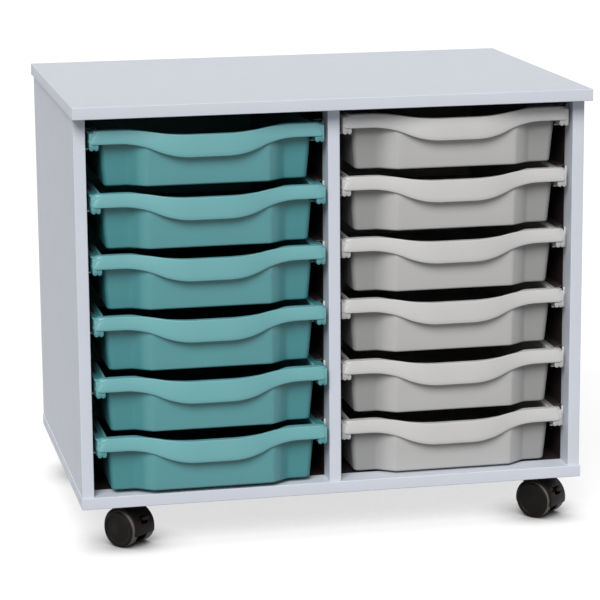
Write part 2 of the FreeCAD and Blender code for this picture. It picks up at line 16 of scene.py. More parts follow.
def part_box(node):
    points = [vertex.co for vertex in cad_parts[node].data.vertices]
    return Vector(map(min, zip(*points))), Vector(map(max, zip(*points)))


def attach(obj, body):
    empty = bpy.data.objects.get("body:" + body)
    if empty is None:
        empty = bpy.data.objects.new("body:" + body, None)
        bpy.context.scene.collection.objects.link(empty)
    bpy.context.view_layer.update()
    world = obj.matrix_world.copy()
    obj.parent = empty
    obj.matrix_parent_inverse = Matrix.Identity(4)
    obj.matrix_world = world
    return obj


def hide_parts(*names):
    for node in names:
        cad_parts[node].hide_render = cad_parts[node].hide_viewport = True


bl_info = {
    "name": "Classroom Tray Storage",
    "version": (1, 0, 0),
    "blender": (4, 5, 0),
    "location": "3D View > Sidebar > Tray Storage",
    "description": "Builds a mobile tray storage unit: carcass boards, trays, runners and casters",
    "category": "Object",
}

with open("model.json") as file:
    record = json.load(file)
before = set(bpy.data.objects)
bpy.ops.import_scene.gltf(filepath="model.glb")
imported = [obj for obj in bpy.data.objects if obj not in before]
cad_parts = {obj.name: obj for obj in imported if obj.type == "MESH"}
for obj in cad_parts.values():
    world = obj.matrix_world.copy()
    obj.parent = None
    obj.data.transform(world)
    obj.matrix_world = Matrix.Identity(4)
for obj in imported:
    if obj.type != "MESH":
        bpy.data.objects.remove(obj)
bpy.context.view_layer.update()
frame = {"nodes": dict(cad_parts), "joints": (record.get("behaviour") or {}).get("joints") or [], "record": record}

MM = 0.001
BAYS = ("left", "right")
ROWS = range(1, 7)
CASTERS = ("front_left", "front_right", "rear_left", "rear_right")
JOINTS = {joint["name"]: joint for joint in frame["joints"]}
BODY_OF_NODE = {
    node: body
    for body, nodes in frame["record"]["behaviour"]["bodies"].items()
    for node in nodes
}


# ---- colours and nodes

MIX_FACTOR, MIX_A, MIX_B = 0, 6, 7  # the sockets of a Mix node that mixes colours


def linear(hex_colour):
    """An sRGB hex value as linear RGBA."""
    channels = [int(hex_colour[i:i + 2], 16) / 255 for i in (1, 3, 5)]
    curve = [c / 12.92 if c <= 0.04045 else ((c + 0.055) / 1.055) ** 2.4 for c in channels]
    return (*curve, 1.0)


def scaled(colour, factor):
    """A colour made lighter or deeper."""
    return (*(min(1.0, channel * factor) for channel in colour[:3]), 1.0)


def feed(tree, node, inputs):
    """Gives each input, by name or index, a value, a socket, or another node's first output."""
    for key, value in inputs.items():
        if isinstance(value, bpy.types.Node):
            value = next(output for output in value.outputs if output.enabled)
        if isinstance(value, bpy.types.NodeSocket):
            tree.links.new(value, node.inputs[key])
        else:
            node.inputs[key].default_value = value


def add(tree, kind, inputs=None, **fields):
    """Adds a node, sets its fields and feeds its inputs."""
    node = tree.nodes.new(kind)
    for name, value in fields.items():
        setattr(node, name, value)
    feed(tree, node, inputs or {})
    return node


def maths(tree, operation, *values):
    """A node that does one operation on its values."""
    return add(tree, "ShaderNodeMath", dict(enumerate(values)), operation=operation)


def mixed(tree, share, first, second, **fields):
    """The first colour at a share of 0 and the second at 1."""
    inputs = {MIX_FACTOR: share, MIX_A: first, MIX_B: second}
    return add(tree, "ShaderNodeMix", inputs, data_type="RGBA", **fields)


def ranged(tree, value, start, end, low=0.0, high=1.0):
    """Low where the value is at start, high where it is at end, and held there beyond them."""
    limits = {"From Min": start, "From Max": end, "To Min": low, "To Max": high}
    return add(tree, "ShaderNodeMapRange", {"Value": value, **limits})


def emptied(block):
    """The node tree of a material or a world, without its first nodes."""
    block.use_nodes = True
    block.node_tree.nodes.clear()
    return block.node_tree


def new_material(name):
    """A node material with only a principled shader and its output."""
    material = bpy.data.materials.new(name)
    tree = emptied(material)
    shader = add(tree, "ShaderNodeBsdfPrincipled")
    add(tree, "ShaderNodeOutputMaterial", {"Surface": shader})
    return material, tree, shader


def grain(tree, size, low=0.0, high=1.0, detail=3.0, stretch=(1, 1, 1), cut=(0.3, 0.7)):
    """Noise from low to high with blotches about size metres across, in the object's own space."""
    place = add(tree, "ShaderNodeTexCoord").outputs["Object"]
    turned = add(tree, "ShaderNodeMapping", {"Vector": place, "Scale": stretch})
    noise = add(
        tree, "ShaderNodeTexNoise",
        {"Vector": turned, "Scale": 1 / size, "Detail": detail, "Roughness": 0.55},
    )
    return ranged(tree, noise, *cut, low, high)


def bumped(tree, shader, *layers):
    """Stacks bumps, each (height node, depth in metres, strength), on the shader's normal."""
    below = {}
    for height, depth, strength in layers:
        inputs = {"Height": height, "Distance": depth, "Strength": strength}
        below = {"Normal": add(tree, "ShaderNodeBump", {**inputs, **below})}
    feed(tree, shader, below)


def edge_wear_and_highlight(tree, radius):
    """About 1 on sharp outer edges and 0 on flats, from the bevelled normal."""
    on_flat, on_edge = 0.99, 0.8  # how nearly it points the way of the real normal
    rounded = add(tree, "ShaderNodeBevel", {"Radius": radius}, samples=4)
    flat = add(tree, "ShaderNodeNewGeometry").outputs["Normal"]
    same = add(tree, "ShaderNodeVectorMath", {0: rounded, 1: flat}, operation="DOT_PRODUCT")
    return ranged(tree, same.outputs["Value"], on_flat, on_edge)


def within(tree, low, high, edge):
    """1 inside a box of the object's own space and 0 outside, with a soft edge."""
    place = add(tree, "ShaderNodeTexCoord").outputs["Object"]
    at = add(tree, "ShaderNodeSeparateXYZ", {"Vector": place}).outputs
    inside = 1.0
    for axis in range(3):
        for wall, inwards in ((low[axis], edge), (high[axis], -edge)):
            side = ranged(tree, at[axis], wall, wall + inwards)
            inside = maths(tree, "MULTIPLY", side, inside)
    return inside


def shaded(tree, base, shade):
    """The base colour, but near-black inside the shade's box: (low corner, high corner, edge, colour)."""
    *box, dark = shade
    return mixed(tree, within(tree, *box), base, tuple(dark))


# ---- materials


def melamine(name, colour, shade=None):
    """Melamine-faced board, pressed against a pearl plate: an even colour with a satin sheen and a
    fine pebbled skin. With a shade, painted shadow turns it near-black inside that box."""
    material, tree, shader = new_material(name)
    cloud = grain(tree, 90 * MM, detail=2.0)
    base = mixed(tree, cloud, scaled(colour, 0.99), scaled(colour, 1.005))
    pearl = grain(tree, 0.7 * MM, detail=2.0)  # the real pearl is near 0.2 mm, too fine to show
    speck = mixed(tree, pearl, scaled(colour, 0.93), scaled(colour, 1.06))
    speck_share = 0.4
    base = mixed(tree, speck_share, base, speck)
    # painted shadow deep inside the bays
    if shade:
        base = shaded(tree, base, shade)
    satin = grain(tree, 30 * MM, 0.43, 0.48)
    feed(tree, shader, {"Base Color": base, "Roughness": satin, "IOR": 1.5, "Specular IOR Level": 0.3})
    bumped(tree, shader, (pearl, 0.05 * MM, 0.35))
    return material


def moulded_plastic(name, colour, roughness, wear_and_highlight_colour, wear_and_highlight, painted_shade=None, shade=None, shine=0.5):
    """Injection-moulded polypropylene or nylon: an even colour, a soft sheen, the pebbled skin of a
    spark-eroded mould, faint sink marks, and paler edges, which are rubbed wear and, on the edge bands,
    also a painted highlight. painted_shade holds the deeper colour of the painted shade under the handles
    and at the recessed ends, and the value of the mesh's "painted_shade" attribute at which it is reached."""
    material, tree, shader = new_material(name)
    base = tuple(colour)
    # painted shade: the colour deepens where the mesh's attribute says
    if painted_shade:
        deep, full = painted_shade
        value = add(tree, "ShaderNodeAttribute", attribute_name="painted_shade").outputs["Fac"]
        base = mixed(tree, ranged(tree, value, 0.0, full), base, tuple(deep))
    flow = grain(tree, 60 * MM, detail=2.0, stretch=(1, 0.4, 1))  # swirls left by the melt's flow
    tint = mixed(tree, flow, scaled((1, 1, 1), 0.97), (1, 1, 1, 1))
    base = mixed(tree, 1.0, base, tint, blend_type="MULTIPLY")
    if shade:
        base = shaded(tree, base, shade)
    patches = grain(tree, 7 * MM, 0.0, wear_and_highlight, cut=(0.45, 0.7))
    # paler edges: rubbed wear, and on the edge bands also a painted highlight
    rubbed_and_highlight = maths(tree, "MULTIPLY", edge_wear_and_highlight(tree, 0.8 * MM), patches)
    base = mixed(tree, rubbed_and_highlight, base, wear_and_highlight_colour)
    smudge = grain(tree, 22 * MM, roughness - 0.05, roughness + 0.07, detail=4.0)
    feed(tree, shader, {"Base Color": base, "Roughness": smudge, "IOR": 1.49, "Specular IOR Level": shine})
    skin = grain(tree, 0.55 * MM, detail=2.0)  # spark erosion is near 0.1 mm, drawn coarser so that it shows
    sink = grain(tree, 35 * MM, detail=1.0)
    bumped(tree, shader, (sink, 0.1 * MM, 0.25), (skin, 0.012 * MM, 0.35))
    return material


def zinc_plated_steel(name, colour):
    """Bright zinc on rolled sheet: a metal with fine rolling lines and cloudy passivation."""
    material, tree, shader = new_material(name)
    cloud = grain(tree, 6 * MM)
    base = mixed(tree, cloud, scaled(colour, 0.85), tuple(colour))
    lines = grain(tree, 1.2 * MM, stretch=(1, 0.05, 1))
    sheen = ranged(tree, lines, 0.0, 1.0, 0.24, 0.42)
    feed(tree, shader, {"Base Color": base, "Roughness": sheen, "Metallic": 1.0})
    bumped(tree, shader, (lines, 0.01 * MM, 0.3))
    return material


def beech(name, colour):
    """Beech dowel: pale wood with short darker flecks along its length."""
    material, tree, shader = new_material(name)
    fleck = grain(tree, 0.8 * MM, stretch=(1, 1, 0.1), cut=(0.4, 0.65))
    base = mixed(tree, fleck, tuple(colour), scaled(colour, 0.6))
    feed(tree, shader, {"Base Color": base, "Roughness": 0.65})
    bumped(tree, shader, (fleck, 0.05 * MM, 0.5))
    return material


def tread_rubber(name, colour):
    """Grey thermoplastic rubber tread: dull, with fine cross scuffs from the floor."""
    material, tree, shader = new_material(name)
    scuff = grain(tree, 1.5 * MM, detail=4.0, cut=(0.4, 0.7))
    base = mixed(tree, scuff, tuple(colour), scaled(colour, 0.7))
    feed(tree, shader, {"Base Color": base, "Roughness": 0.62})
    bumped(tree, shader, (scuff, 0.03 * MM, 0.4))
    return material


# ---- mesh helpers


WELD = 0.002 * MM  # points of a CAD mesh this near to each other are one
SHARP = math.radians(32)


def mesh_of(name, bm):
    """A finished bmesh as a mesh."""
    mesh = bpy.data.meshes.new(name)
    bm.to_mesh(mesh)
    bm.free()
    return mesh


def linked(name, data):
    """A new object of a mesh, a lamp or a camera, in the scene."""
    obj = bpy.data.objects.new(name, data)
    bpy.context.scene.collection.objects.link(obj)
    return obj


def object_of(name, mesh, materials=()):
    """A mesh as an object at the origin, smooth but for its sharp edges."""
    mesh.shade_smooth()
    mesh.set_sharp_from_angle(angle=SHARP)
    for material in materials:
        mesh.materials.append(material)
    return linked(name, mesh)


def baked(obj, name):
    """The object with its modifiers as a new plain mesh; the source object goes."""
    depsgraph = bpy.context.evaluated_depsgraph_get()
    mesh = bpy.data.meshes.new_from_object(obj.evaluated_get(depsgraph), depsgraph=depsgraph)
    mesh.name = name
    bpy.data.objects.remove(obj)
    return mesh


def dressed(obj, node):
    """Sets a piece in the place of a CAD node: it rides on its body, and the node is hidden."""
    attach(obj, BODY_OF_NODE[node])
    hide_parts(node)
    return obj


def finish_node(node, material):
    """Keeps a CAD node and gives it its material."""
    mesh = frame["nodes"][node].data
    mesh.materials.clear()
    mesh.materials.append(material)


def softened(node, material, edge, segments=2, angle=35, clamp=True):
    """A copy of a CAD node with its sharp edges rounded, in that node's place. The clamp narrows the
    rounding of the whole piece to what its tightest spot allows."""
    bm = bmesh.new()
    bm.from_mesh(frame["nodes"][node].data)
    bmesh.ops.remove_doubles(bm, verts=bm.verts, dist=WELD)
    bmesh.ops.dissolve_limit(
        bm, angle_limit=math.radians(0.5), verts=bm.verts, edges=bm.edges, delimit={"NORMAL"}
    )
    source = object_of(node + "_source", mesh_of(node, bm))
    bevel = source.modifiers.new("edge", "BEVEL")
    bevel.width = edge
    bevel.segments = segments
    bevel.limit_method = "ANGLE"
    bevel.angle_limit = math.radians(angle)
    bevel.use_clamp_overlap = clamp
    bevel.harden_normals = False
    mesh = baked(source, node + "_soft")
    mesh.materials.clear()
    return dressed(object_of(node + "_soft", mesh, [material]), node)


def united(name, pieces):
    """The union of closed forms, each in a bmesh of its own, as one closed mesh."""
    first, *others = [linked(name, mesh_of(name, bm)) for bm in pieces]
    for other in others:
        union = first.modifiers.new("union", "BOOLEAN")
        union.operation = "UNION"
        union.solver = "MANIFOLD"
        union.object = other
    mesh = baked(first, name)
    mesh.materials.clear()  # the unions leave an empty slot, before the one that the piece gets
    for other in others:
        bpy.data.objects.remove(other)
    return mesh


def prism(near, far):
    """A closed form between two outlines with as many points each, in a bmesh."""
    bm = bmesh.new()
    near, far = ([bm.verts.new(point) for point in outline] for outline in (near, far))
    bm.faces.new(near)
    bm.faces.new(far[::-1])
    for n in range(len(near)):
        m = (n + 1) % len(near)
        bm.faces.new((near[n], far[n], far[m], near[m]))
    bmesh.ops.recalc_face_normals(bm, faces=bm.faces)
    return bm


def round_edges(bm, edges, radius):
    """Rounds some edges of a bmesh."""
    bmesh.ops.bevel(
        bm, geom=edges, offset=radius, offset_type="OFFSET", segments=2, profile=0.5,
        affect="EDGES", clamp_overlap=True,
    )


def smooth(value, low, high):
    """0 below low, 1 above high, and a soft step between."""
    t = min(1.0, max(0.0, (value - low) / (high - low)))
    return t * t * (3 - 2 * t)


def sway(u, u0, u1, v0, v1):
    """Height and slope at u of two equal arcs from (u0, v0) to (u1, v1), level at both ends."""
    if u <= u0:
        return v0, 0.0
    if u >= u1:
        return v1, 0.0
    half_u, half_v = (u1 - u0) / 2, (v1 - v0) / 2
    radius = (half_u ** 2 + half_v ** 2) / (2 * abs(half_v))
    sign = math.copysign(1.0, half_v)
    t = u - u0 if u < u0 + half_u else u1 - u
    drop = math.sqrt(radius ** 2 - t * t)
    height = sign * (radius - drop)
    return (v0 + height if u < u0 + half_u else v1 - height), sign * t / drop


def ramp(u, u0, u1, v0, v1, ease):
    """Height and slope at u of a straight ramp from (u0, v0) to (u1, v1), its two ends rounded."""
    if u <= u0 or u >= u1:
        return (v0 if u <= u0 else v1), 0.0
    angle = math.atan2(abs(v1 - v0), u1 - u0 - 2 * ease)
    radius = ease / math.tan(angle / 2)
    far = u > (u0 + u1) / 2
    t = u1 - u if far else u - u0
    if t < radius * math.sin(angle):
        drop = math.sqrt(radius ** 2 - t * t)
        height, slope = radius - drop, t / drop
    else:
        height, slope = (t - ease) * math.tan(angle), math.tan(angle)
    sign = math.copysign(1.0, v1 - v0)
    return (v1 - sign * height if far else v0 + sign * height), sign * slope


# ---- what a user would change


class TrayStoreTrays(bpy.types.PropertyGroup):
    """Sizes and colours of the moulded trays"""

    teal: FloatVectorProperty(
        name="Left Bay Colour", description="Plastic of the left bay's trays",
        subtype="COLOR", size=4, min=0, max=1, default=linear("#69A4A8"),
    )
    grey: FloatVectorProperty(
        name="Right Bay Colour", description="Plastic of the right bay's trays",
        subtype="COLOR", size=4, min=0, max=1, default=linear("#C2C1C0"),
    )
    # Painted shade on the trays: these deeper colours darken the walls under the handles, the recessed ends, the
    # legs and the rims, where shade falls.
    teal_painted_shade: FloatVectorProperty(
        name="Left Bay Thin Wall", description="The same plastic where it is thin and backed by the dark",
        subtype="COLOR", size=4, min=0, max=1, default=linear("#408287"),
    )
    grey_painted_shade: FloatVectorProperty(
        name="Right Bay Thin Wall", description="The same plastic where it is thin and backed by the dark",
        subtype="COLOR", size=4, min=0, max=1, default=linear("#858584"),
    )
    bulge: FloatProperty(
        name="Handle Bulge", description="How far the middle of the handle stands forward",
        default=12 * MM, min=0, unit="LENGTH",
    )
    top_dip: FloatProperty(
        name="Top Dip", description="How far the handle's top edge sinks in the middle",
        default=7.7 * MM, min=0, unit="LENGTH",
    )
    bottom_dip: FloatProperty(
        name="Bottom Dip", description="How far the handle's lower edge sinks in the middle",
        default=19 * MM, min=0, unit="LENGTH",
    )
    handle_height: FloatProperty(
        name="Handle Height", description="Height of the handle at its ends",
        default=17.7 * MM, min=0, unit="LENGTH",
    )
    lean: FloatProperty(
        name="Handle Lean", description="How much further out the handle's lower edge stands than its top",
        default=2.4 * MM, min=0, unit="LENGTH",
    )
    top_round: FloatProperty(
        name="Top Rounding", description="Radius of the handle's top edge",
        default=1.3 * MM, min=0, unit="LENGTH",
    )
    end_round: FloatProperty(
        name="End Rounding", description="Radius of the handle's top corners, seen from the front",
        default=8 * MM, min=0, unit="LENGTH",
    )


class TrayStoreBoards(bpy.types.PropertyGroup):
    """Colours of the carcass"""

    facing: FloatVectorProperty(
        name="Facing Colour", description="Melamine facing of the boards",
        subtype="COLOR", size=4, min=0, max=1, default=linear("#CDD2DB"),
    )
    band: FloatVectorProperty(
        name="Edge Band Colour", description="Plastic bands on the boards' edges",
        subtype="COLOR", size=4, min=0, max=1, default=linear("#CED3DD"),
    )
    # Painted shade: the back panel is made near-black for the dark deep in the bays.
    back: FloatVectorProperty(
        name="Back Colour", description="Facing of the back panel inside the bays",
        subtype="COLOR", size=4, min=0, max=1, default=linear("#0C0C0D"),
    )
    # Painted shade: the colour that the faces inside the bays take behind the lit strip at the front.
    inner: FloatVectorProperty(
        name="Inner Colour", description="Near-black facing deep inside the bays",
        subtype="COLOR", size=4, min=0, max=1, default=linear("#2B2324"),
    )
    # Depth of the lit strip in front of the painted shade inside the bays.
    light_depth: FloatProperty(
        name="Light Depth", description="How far the grey facing goes into the bays from the front",
        default=31 * MM, min=0, unit="LENGTH",
    )
    seam: FloatProperty(
        name="Seam", description="Width of the broken edge where a band meets its board",
        default=0.18 * MM, min=0, unit="LENGTH",
    )


class TrayStoreFittings(bpy.types.PropertyGroup):
    """Sizes and colours of runners, screws and casters"""

    runner: FloatVectorProperty(
        name="Runner Colour", description="Plastic of the runners",
        subtype="COLOR", size=4, min=0, max=1, default=linear("#CBC8C6"),
    )
    # Only this front tip keeps the runners' colour; behind it they take the bays' painted shade.
    light_tip: FloatProperty(
        name="Light Tip", description="How far the runners' own colour goes back from their front ends",
        default=1.5 * MM, min=0, unit="LENGTH",
    )
    nylon: FloatVectorProperty(
        name="Caster Colour", description="Nylon of the casters' hoods and levers",
        subtype="COLOR", size=4, min=0, max=1, default=linear("#120C0B"),
    )
    wheel: FloatVectorProperty(
        name="Wheel Colour", description="Nylon of the wheels' discs",
        subtype="COLOR", size=4, min=0, max=1, default=linear("#100E0C"),
    )
    tread: FloatVectorProperty(
        name="Tread Colour", description="Rubber of the wheels' treads",
        subtype="COLOR", size=4, min=0, max=1, default=linear("#6A6460"),
    )
    zinc: FloatVectorProperty(
        name="Steel Colour", description="Zinc-plated steel of plates, axles and screws",
        subtype="COLOR", size=4, min=0, max=1, default=linear("#C4C5C7"),
    )
    recess: FloatProperty(
        name="Screw Recess", description="Width of a screw's cross recess, as a share of its head",
        default=0.55, min=0, max=1, subtype="FACTOR",
    )
    turn_seed: IntProperty(
        name="Screw Turn Seed", description="Seed for how far each screw is turned", default=7,
    )


class TrayStoreStage(bpy.types.PropertyGroup):
    """Floor, light and camera"""

    floor: FloatVectorProperty(
        name="Floor Colour", description="Pale floor under the unit",
        subtype="COLOR", size=4, min=0, max=1, default=linear("#959595"),
    )
    lift: FloatProperty(
        name="Floor Lift", description="White that the floor shows and doesn't cast", default=0.8, min=0,
    )
    # Painted contact shadow: the floor's white lift fades within this distance of the unit.
    contact: FloatProperty(
        name="Contact", description="How far the unit darkens the floor", default=66 * MM, unit="LENGTH",
    )
    sky: FloatProperty(name="Sky", description="Even light from all round", default=0.24, min=0)
    key: FloatProperty(name="Key Light", description="Strength of the main lamp", default=3.1, min=0)
    softness: FloatProperty(
        name="Key Softness", description="Apparent width of the main lamp", subtype="ANGLE",
        default=math.radians(34),
    )
    key_from: FloatVectorProperty(
        name="Key From", description="Direction from the object to the main lamp", size=3,
        subtype="DIRECTION", default=(-0.29, -0.68, 0.66),
    )
    camera_at: FloatVectorProperty(
        name="Camera Place", description="Where the camera stands", size=3,
        subtype="TRANSLATION", unit="LENGTH", default=(-0.7395, -3.4734, 1.0621),
    )
    camera_yaw: FloatProperty(
        name="Camera Yaw", description="Turn of the view to the right", subtype="ANGLE", default=0.20919,
    )
    camera_pitch: FloatProperty(
        name="Camera Pitch", description="Tilt of the view downwards", subtype="ANGLE", default=0.21588,
    )
    camera_roll: FloatProperty(
        name="Camera Roll", description="Roll of the view", subtype="ANGLE", default=0.00784,
    )
    lens: FloatProperty(name="Lens", description="Focal length in millimetres", default=154.3, min=1)


# ---- trays


def quarter(steps):
    """The angles of a quarter turn in equal steps, from 0."""
    return [n / steps * math.pi / 2 for n in range(steps + 1)]


# How the rim's edge is made at a station: whether the handle's skin hangs from it, the height of its
# upper face, its rounding, how far in from the outline that begins, how far in the whole edge lies,
# and how much further out the skin stands at its lower edge.
RimEdge = namedtuple("RimEdge", "hangs top radius begins tuck lean")


class TrayForm:
    """The shape of a tray in its own frame: x from its middle, y back from the handle ends' face,
    z from the handle's top edge. Stations go round the rim; each has one section."""

    WALL_ROWS = (0.2, 0.28, 0.38, 0.55, 0.75)  # the wall's rows of points, as shares of the height

    def __init__(self, looks, low, high):
        self.looks = looks
        self.half = (high.x - low.x) / 2
        self.depth = high.y - low.y - looks.bulge
        self.height = high.z - low.z
        self.wall = 2 * MM
        self.floor_round = 3 * MM
        self.floor_round_in = 1.6 * MM
        self.skin = 3 * MM
        self.skin_round = 1.3 * MM
        self.skin_crown = 0.45 * MM
        self.rim = 2 * MM
        self.rim_round = 0.9 * MM
        self.rim_drop = 2 * MM
        self.rim_tuck = 3.4 * MM  # how far its edge lies in, right behind the handle's ends
        self.rim_corner = 7 * MM
        self.rim_back_corner = 14 * MM
        self.overhang = 14 * MM
        self.body_half = self.half - self.overhang
        self.body_front = self.overhang
        self.body_back = self.depth - self.overhang
        self.body_corner = 8 * MM
        self.body_bulge = 16 * MM
        self.panel = 79 * MM  # half the width of the body's forward part
        self.panel_end = 106 * MM  # where the slope beside it ends
        self.crease = 2 * MM  # reach of the rounding at that slope's ends
        self.wave_in = 23 * MM  # where the handle's level middle ends
        self.wave_out = 118 * MM  # where its level ends begin
        self.draft_side = 7 * MM
        self.draft_end = 3 * MM
        self.ledge_back = 16 * MM  # about where the high front of the rim ends
        self.return_back = 8 * MM  # where the handle's returns round the corners end

    def stations(self):
        """From the front middle to the back middle: the stretch of each station, its share of that
        stretch, and whether the handle's skin hangs there."""
        front = {"middle": 4, "inner_wave": 12, "step": 14, "outer_wave": 3, "end": 10, "front_corner": 10}
        half = [(stretch, n / count, True) for stretch, count in front.items() for n in range(count)]
        run = self.depth - self.rim_corner - self.rim_back_corner
        near = (0, 0.5, 0.85)  # millimetres along the side
        far = (1.1, 2, 3.5, 5, 6, 7, 8, 9, 10, 11, 13, 17, 25, 45, 80, 130, 190, 250, 300, 340, 370, 388)
        half += [("side", at * MM / run, True) for at in near]
        half += [("side", at * MM / run, False) for at in far]
        half += [("back_corner", n / 10, False) for n in range(10)]
        half += [("back", n / 6, False) for n in range(7)]
        return half

    def rim_at(self, stretch, t, inset):
        """A point of the rim's outline, or of a line inside it."""
        if stretch == "middle":
            return t * self.wave_in, -self.looks.bulge + inset
        spans = {
            "inner_wave": (self.wave_in, self.panel),
            "step": (self.panel, self.panel_end),
            "outer_wave": (self.panel_end, self.wave_out),
        }
        if stretch in spans:
            a, b = spans[stretch]
            x = a + t * (b - a)
            y, slope = sway(x, self.wave_in, self.wave_out, -self.looks.bulge, 0)
            length = math.hypot(1, slope)
            return x - slope / length * inset, y + inset / length
        least = 0.8 * MM
        r = max(self.rim_corner - inset, least)
        corner = inset + r
        if stretch == "end":
            return self.wave_out + t * (self.half - corner - self.wave_out), inset
        if stretch == "front_corner":
            turn = t * math.pi / 2
            return self.half - corner + r * math.sin(turn), corner - r * math.cos(turn)
        if stretch == "side":
            return self.half - inset, corner + t * (self.depth - corner - self.rim_back_corner)
        r = self.rim_back_corner - inset
        if stretch == "back_corner":
            turn = t * math.pi / 2
            return (
                self.half - self.rim_back_corner + r * math.cos(turn),
                self.depth - self.rim_back_corner + r * math.sin(turn),
            )
        return (1 - t) * (self.half - self.rim_back_corner), self.depth - inset

    def body_at(self, stretch, t, share, inset):
        """A point of the body's wall. share goes from 0 at the top to 1 at the floor."""
        side, end = share * self.draft_side, share * self.draft_end
        centre = self.body_half - self.body_corner - side
        proud = self.body_front - self.body_bulge
        if stretch == "middle":
            return t * self.wave_in, proud + end + inset
        if stretch == "inner_wave":
            return self.wave_in + t * (self.panel - self.wave_in), proud + end + inset
        if stretch == "step":
            x = self.panel + t * (self.panel_end - self.panel)
            y, slope = ramp(x, self.panel, self.panel_end, proud, self.body_front, self.crease)
            length = math.hypot(1, slope)
            return x - slope / length * inset, y + end + inset / length
        if stretch == "outer_wave":
            return self.panel_end + t * (self.wave_out - self.panel_end), self.body_front + end + inset
        if stretch == "end":
            return self.wave_out + t * (centre - self.wave_out), self.body_front + end + inset
        r = self.body_corner - inset
        front = self.body_front + self.body_corner + end
        back = self.body_back - self.body_corner - end
        if stretch == "front_corner":
            turn = t * math.pi / 2
            return centre + r * math.sin(turn), front - r * math.cos(turn)
        if stretch == "side":
            return self.body_half - side - inset, front + t * (back - front)
        if stretch == "back_corner":
            turn = t * math.pi / 2
            return centre + r * math.cos(turn), back + r * math.sin(turn)
        return (1 - t) * centre, self.body_back - end - inset

    def rim_y(self, x):
        """The handle's front face, at its lower edge."""
        return sway(abs(x), self.wave_in, self.wave_out, -self.looks.bulge, 0)[0]

    def near_end(self, x, reach):
        """Rises from 0 to 1 over the last reach before the handle's end."""
        return max(0.0, 1 - (self.half - abs(x)) / reach) ** 2

    def top_z(self, x):
        """The handle's top edge: it sinks in the middle, and a little at the very ends."""
        end_dip, end_reach = 1.2 * MM, 12 * MM
        dip = sway(abs(x), self.wave_in, self.wave_out, -self.looks.top_dip, 0)[0]
        return dip - end_dip * self.near_end(x, end_reach)

    def low_z(self, x):
        """The handle's lower edge: it sinks in the middle, and rises at the very ends."""
        end_rise, end_reach = 2.6 * MM, 7 * MM
        dip = sway(abs(x), self.wave_in, self.wave_out, -self.looks.bottom_dip, 0)[0]
        return dip - self.looks.handle_height + end_rise * self.near_end(x, end_reach)

    def flange_z(self, x, y):
        """Upper face of the rim: high over the front ledge, lower along the sides and the back."""
        fall_from, fall_to = self.ledge_back - 3 * MM, self.ledge_back + 2 * MM
        side_low, side_high = 3.5 * MM, 9 * MM  # in from the side, behind the handle's returns
        front = 1 - smooth(y, fall_from, fall_to)
        if y > self.return_back:
            front *= smooth(self.half - abs(x), side_low, side_high)
        return front * self.top_z(x) - (1 - front) * self.rim_drop

    def from_edge(self, x, y):
        """Distance in from the rim's outline, near its front and sides."""
        across, back = self.half - abs(x), y - self.rim_y(x)
        r = self.rim_corner
        if across < r and back < r:
            return r - math.hypot(r - across, r - back)
        return min(across, back)

    def rim_edge(self, stretch, t, hangs):
        """How the rim's edge is made at one station."""
        looks = self.looks
        x, y = self.rim_at(stretch, t, 0)
        if hangs:
            end_from, end_to = self.half - 15 * MM, self.half - 1 * MM
            radius = looks.top_round + (looks.end_round - looks.top_round) * smooth(x, end_from, end_to)
            return RimEdge(True, self.top_z(x), radius, radius + looks.lean, 0.0, looks.lean)
        radius, tuck_end = self.rim_round, self.ledge_back - 2 * MM
        tuck = self.rim_tuck * (1 - smooth(y, self.return_back, tuck_end))
        return RimEdge(False, self.flange_z(x, y), radius, radius + tuck, tuck, 0.0)

    def under_z(self, x, y, edge):
        """Lower face of the rim, a wall below its upper one also where that is rounded."""
        if not edge.hangs:
            return self.flange_z(x, y) - self.rim
        reach = min(edge.radius, max(0.0, edge.begins - self.from_edge(x, y)))
        drop = edge.radius - math.sqrt(edge.radius ** 2 - reach ** 2)
        return min(self.flange_z(x, y), self.top_z(x) - drop) - self.rim

    def wall_at(self, stretch, t, z, inset):
        """A point of the body's wall, which stays behind the handle's skin."""
        x, y = self.body_at(stretch, t, min(1.0, max(0.0, -z / self.height)), inset)
        if x < self.wave_out and y < self.body_back / 2:
            behind, low = self.rim_y(x) + self.skin + inset, self.low_z(x)
            lean_from, lean_to, gap, ease = 9 * MM, 21 * MM, 1 * MM, 4 * MM
            y += max(0.0, behind + self.looks.lean - y) * (1 - smooth(-z, lean_from, lean_to))
            y += max(0.0, behind + gap - y) * smooth(z, low - ease, low)
        return Vector((x, y))

    def wall_points(self, stretch, t, rows):
        """A point of the body's wall for each height and inset."""
        return [(*self.wall_at(stretch, t, z, inset), z) for z, inset in rows]

    def inner_wall(self, stretch, t):
        """From the inner floor up to the wall's rounded top."""
        floor, bend, lip = -self.height + self.wall, self.floor_round_in, self.rim_round
        top = self.flange_z(*self.wall_at(stretch, t, 0, 0))
        rows = [(floor, self.wall + 2 * bend)]
        for a in quarter(4):
            rows.append((floor + bend * (1 - math.cos(a)), self.wall + bend * (1 - math.sin(a))))
        near_top = 0.13
        for share in (*self.WALL_ROWS[::-1], near_top):
            rows.append((-share * self.height, self.wall))
        for a in quarter(2):
            rows.append((top - lip + lip * math.sin(a), self.wall - lip + lip * math.cos(a)))
        return self.wall_points(stretch, t, rows)

    def upper_rim(self, stretch, t, edge):
        """Out over the rim's upper face and round its edge."""
        inner = self.wall_at(stretch, t, 0, self.wall - self.rim_round)
        outer = Vector(self.rim_at(stretch, t, edge.begins))
        across = [inner.lerp(outer, n / 9) for n in range(1, 9)]
        points = [(*at, self.flange_z(*at)) for at in across]
        for a in quarter(5):
            at = self.rim_at(stretch, t, edge.begins - edge.radius * math.sin(a))
            points.append((*at, edge.top - edge.radius * (1 - math.cos(a))))
        return points

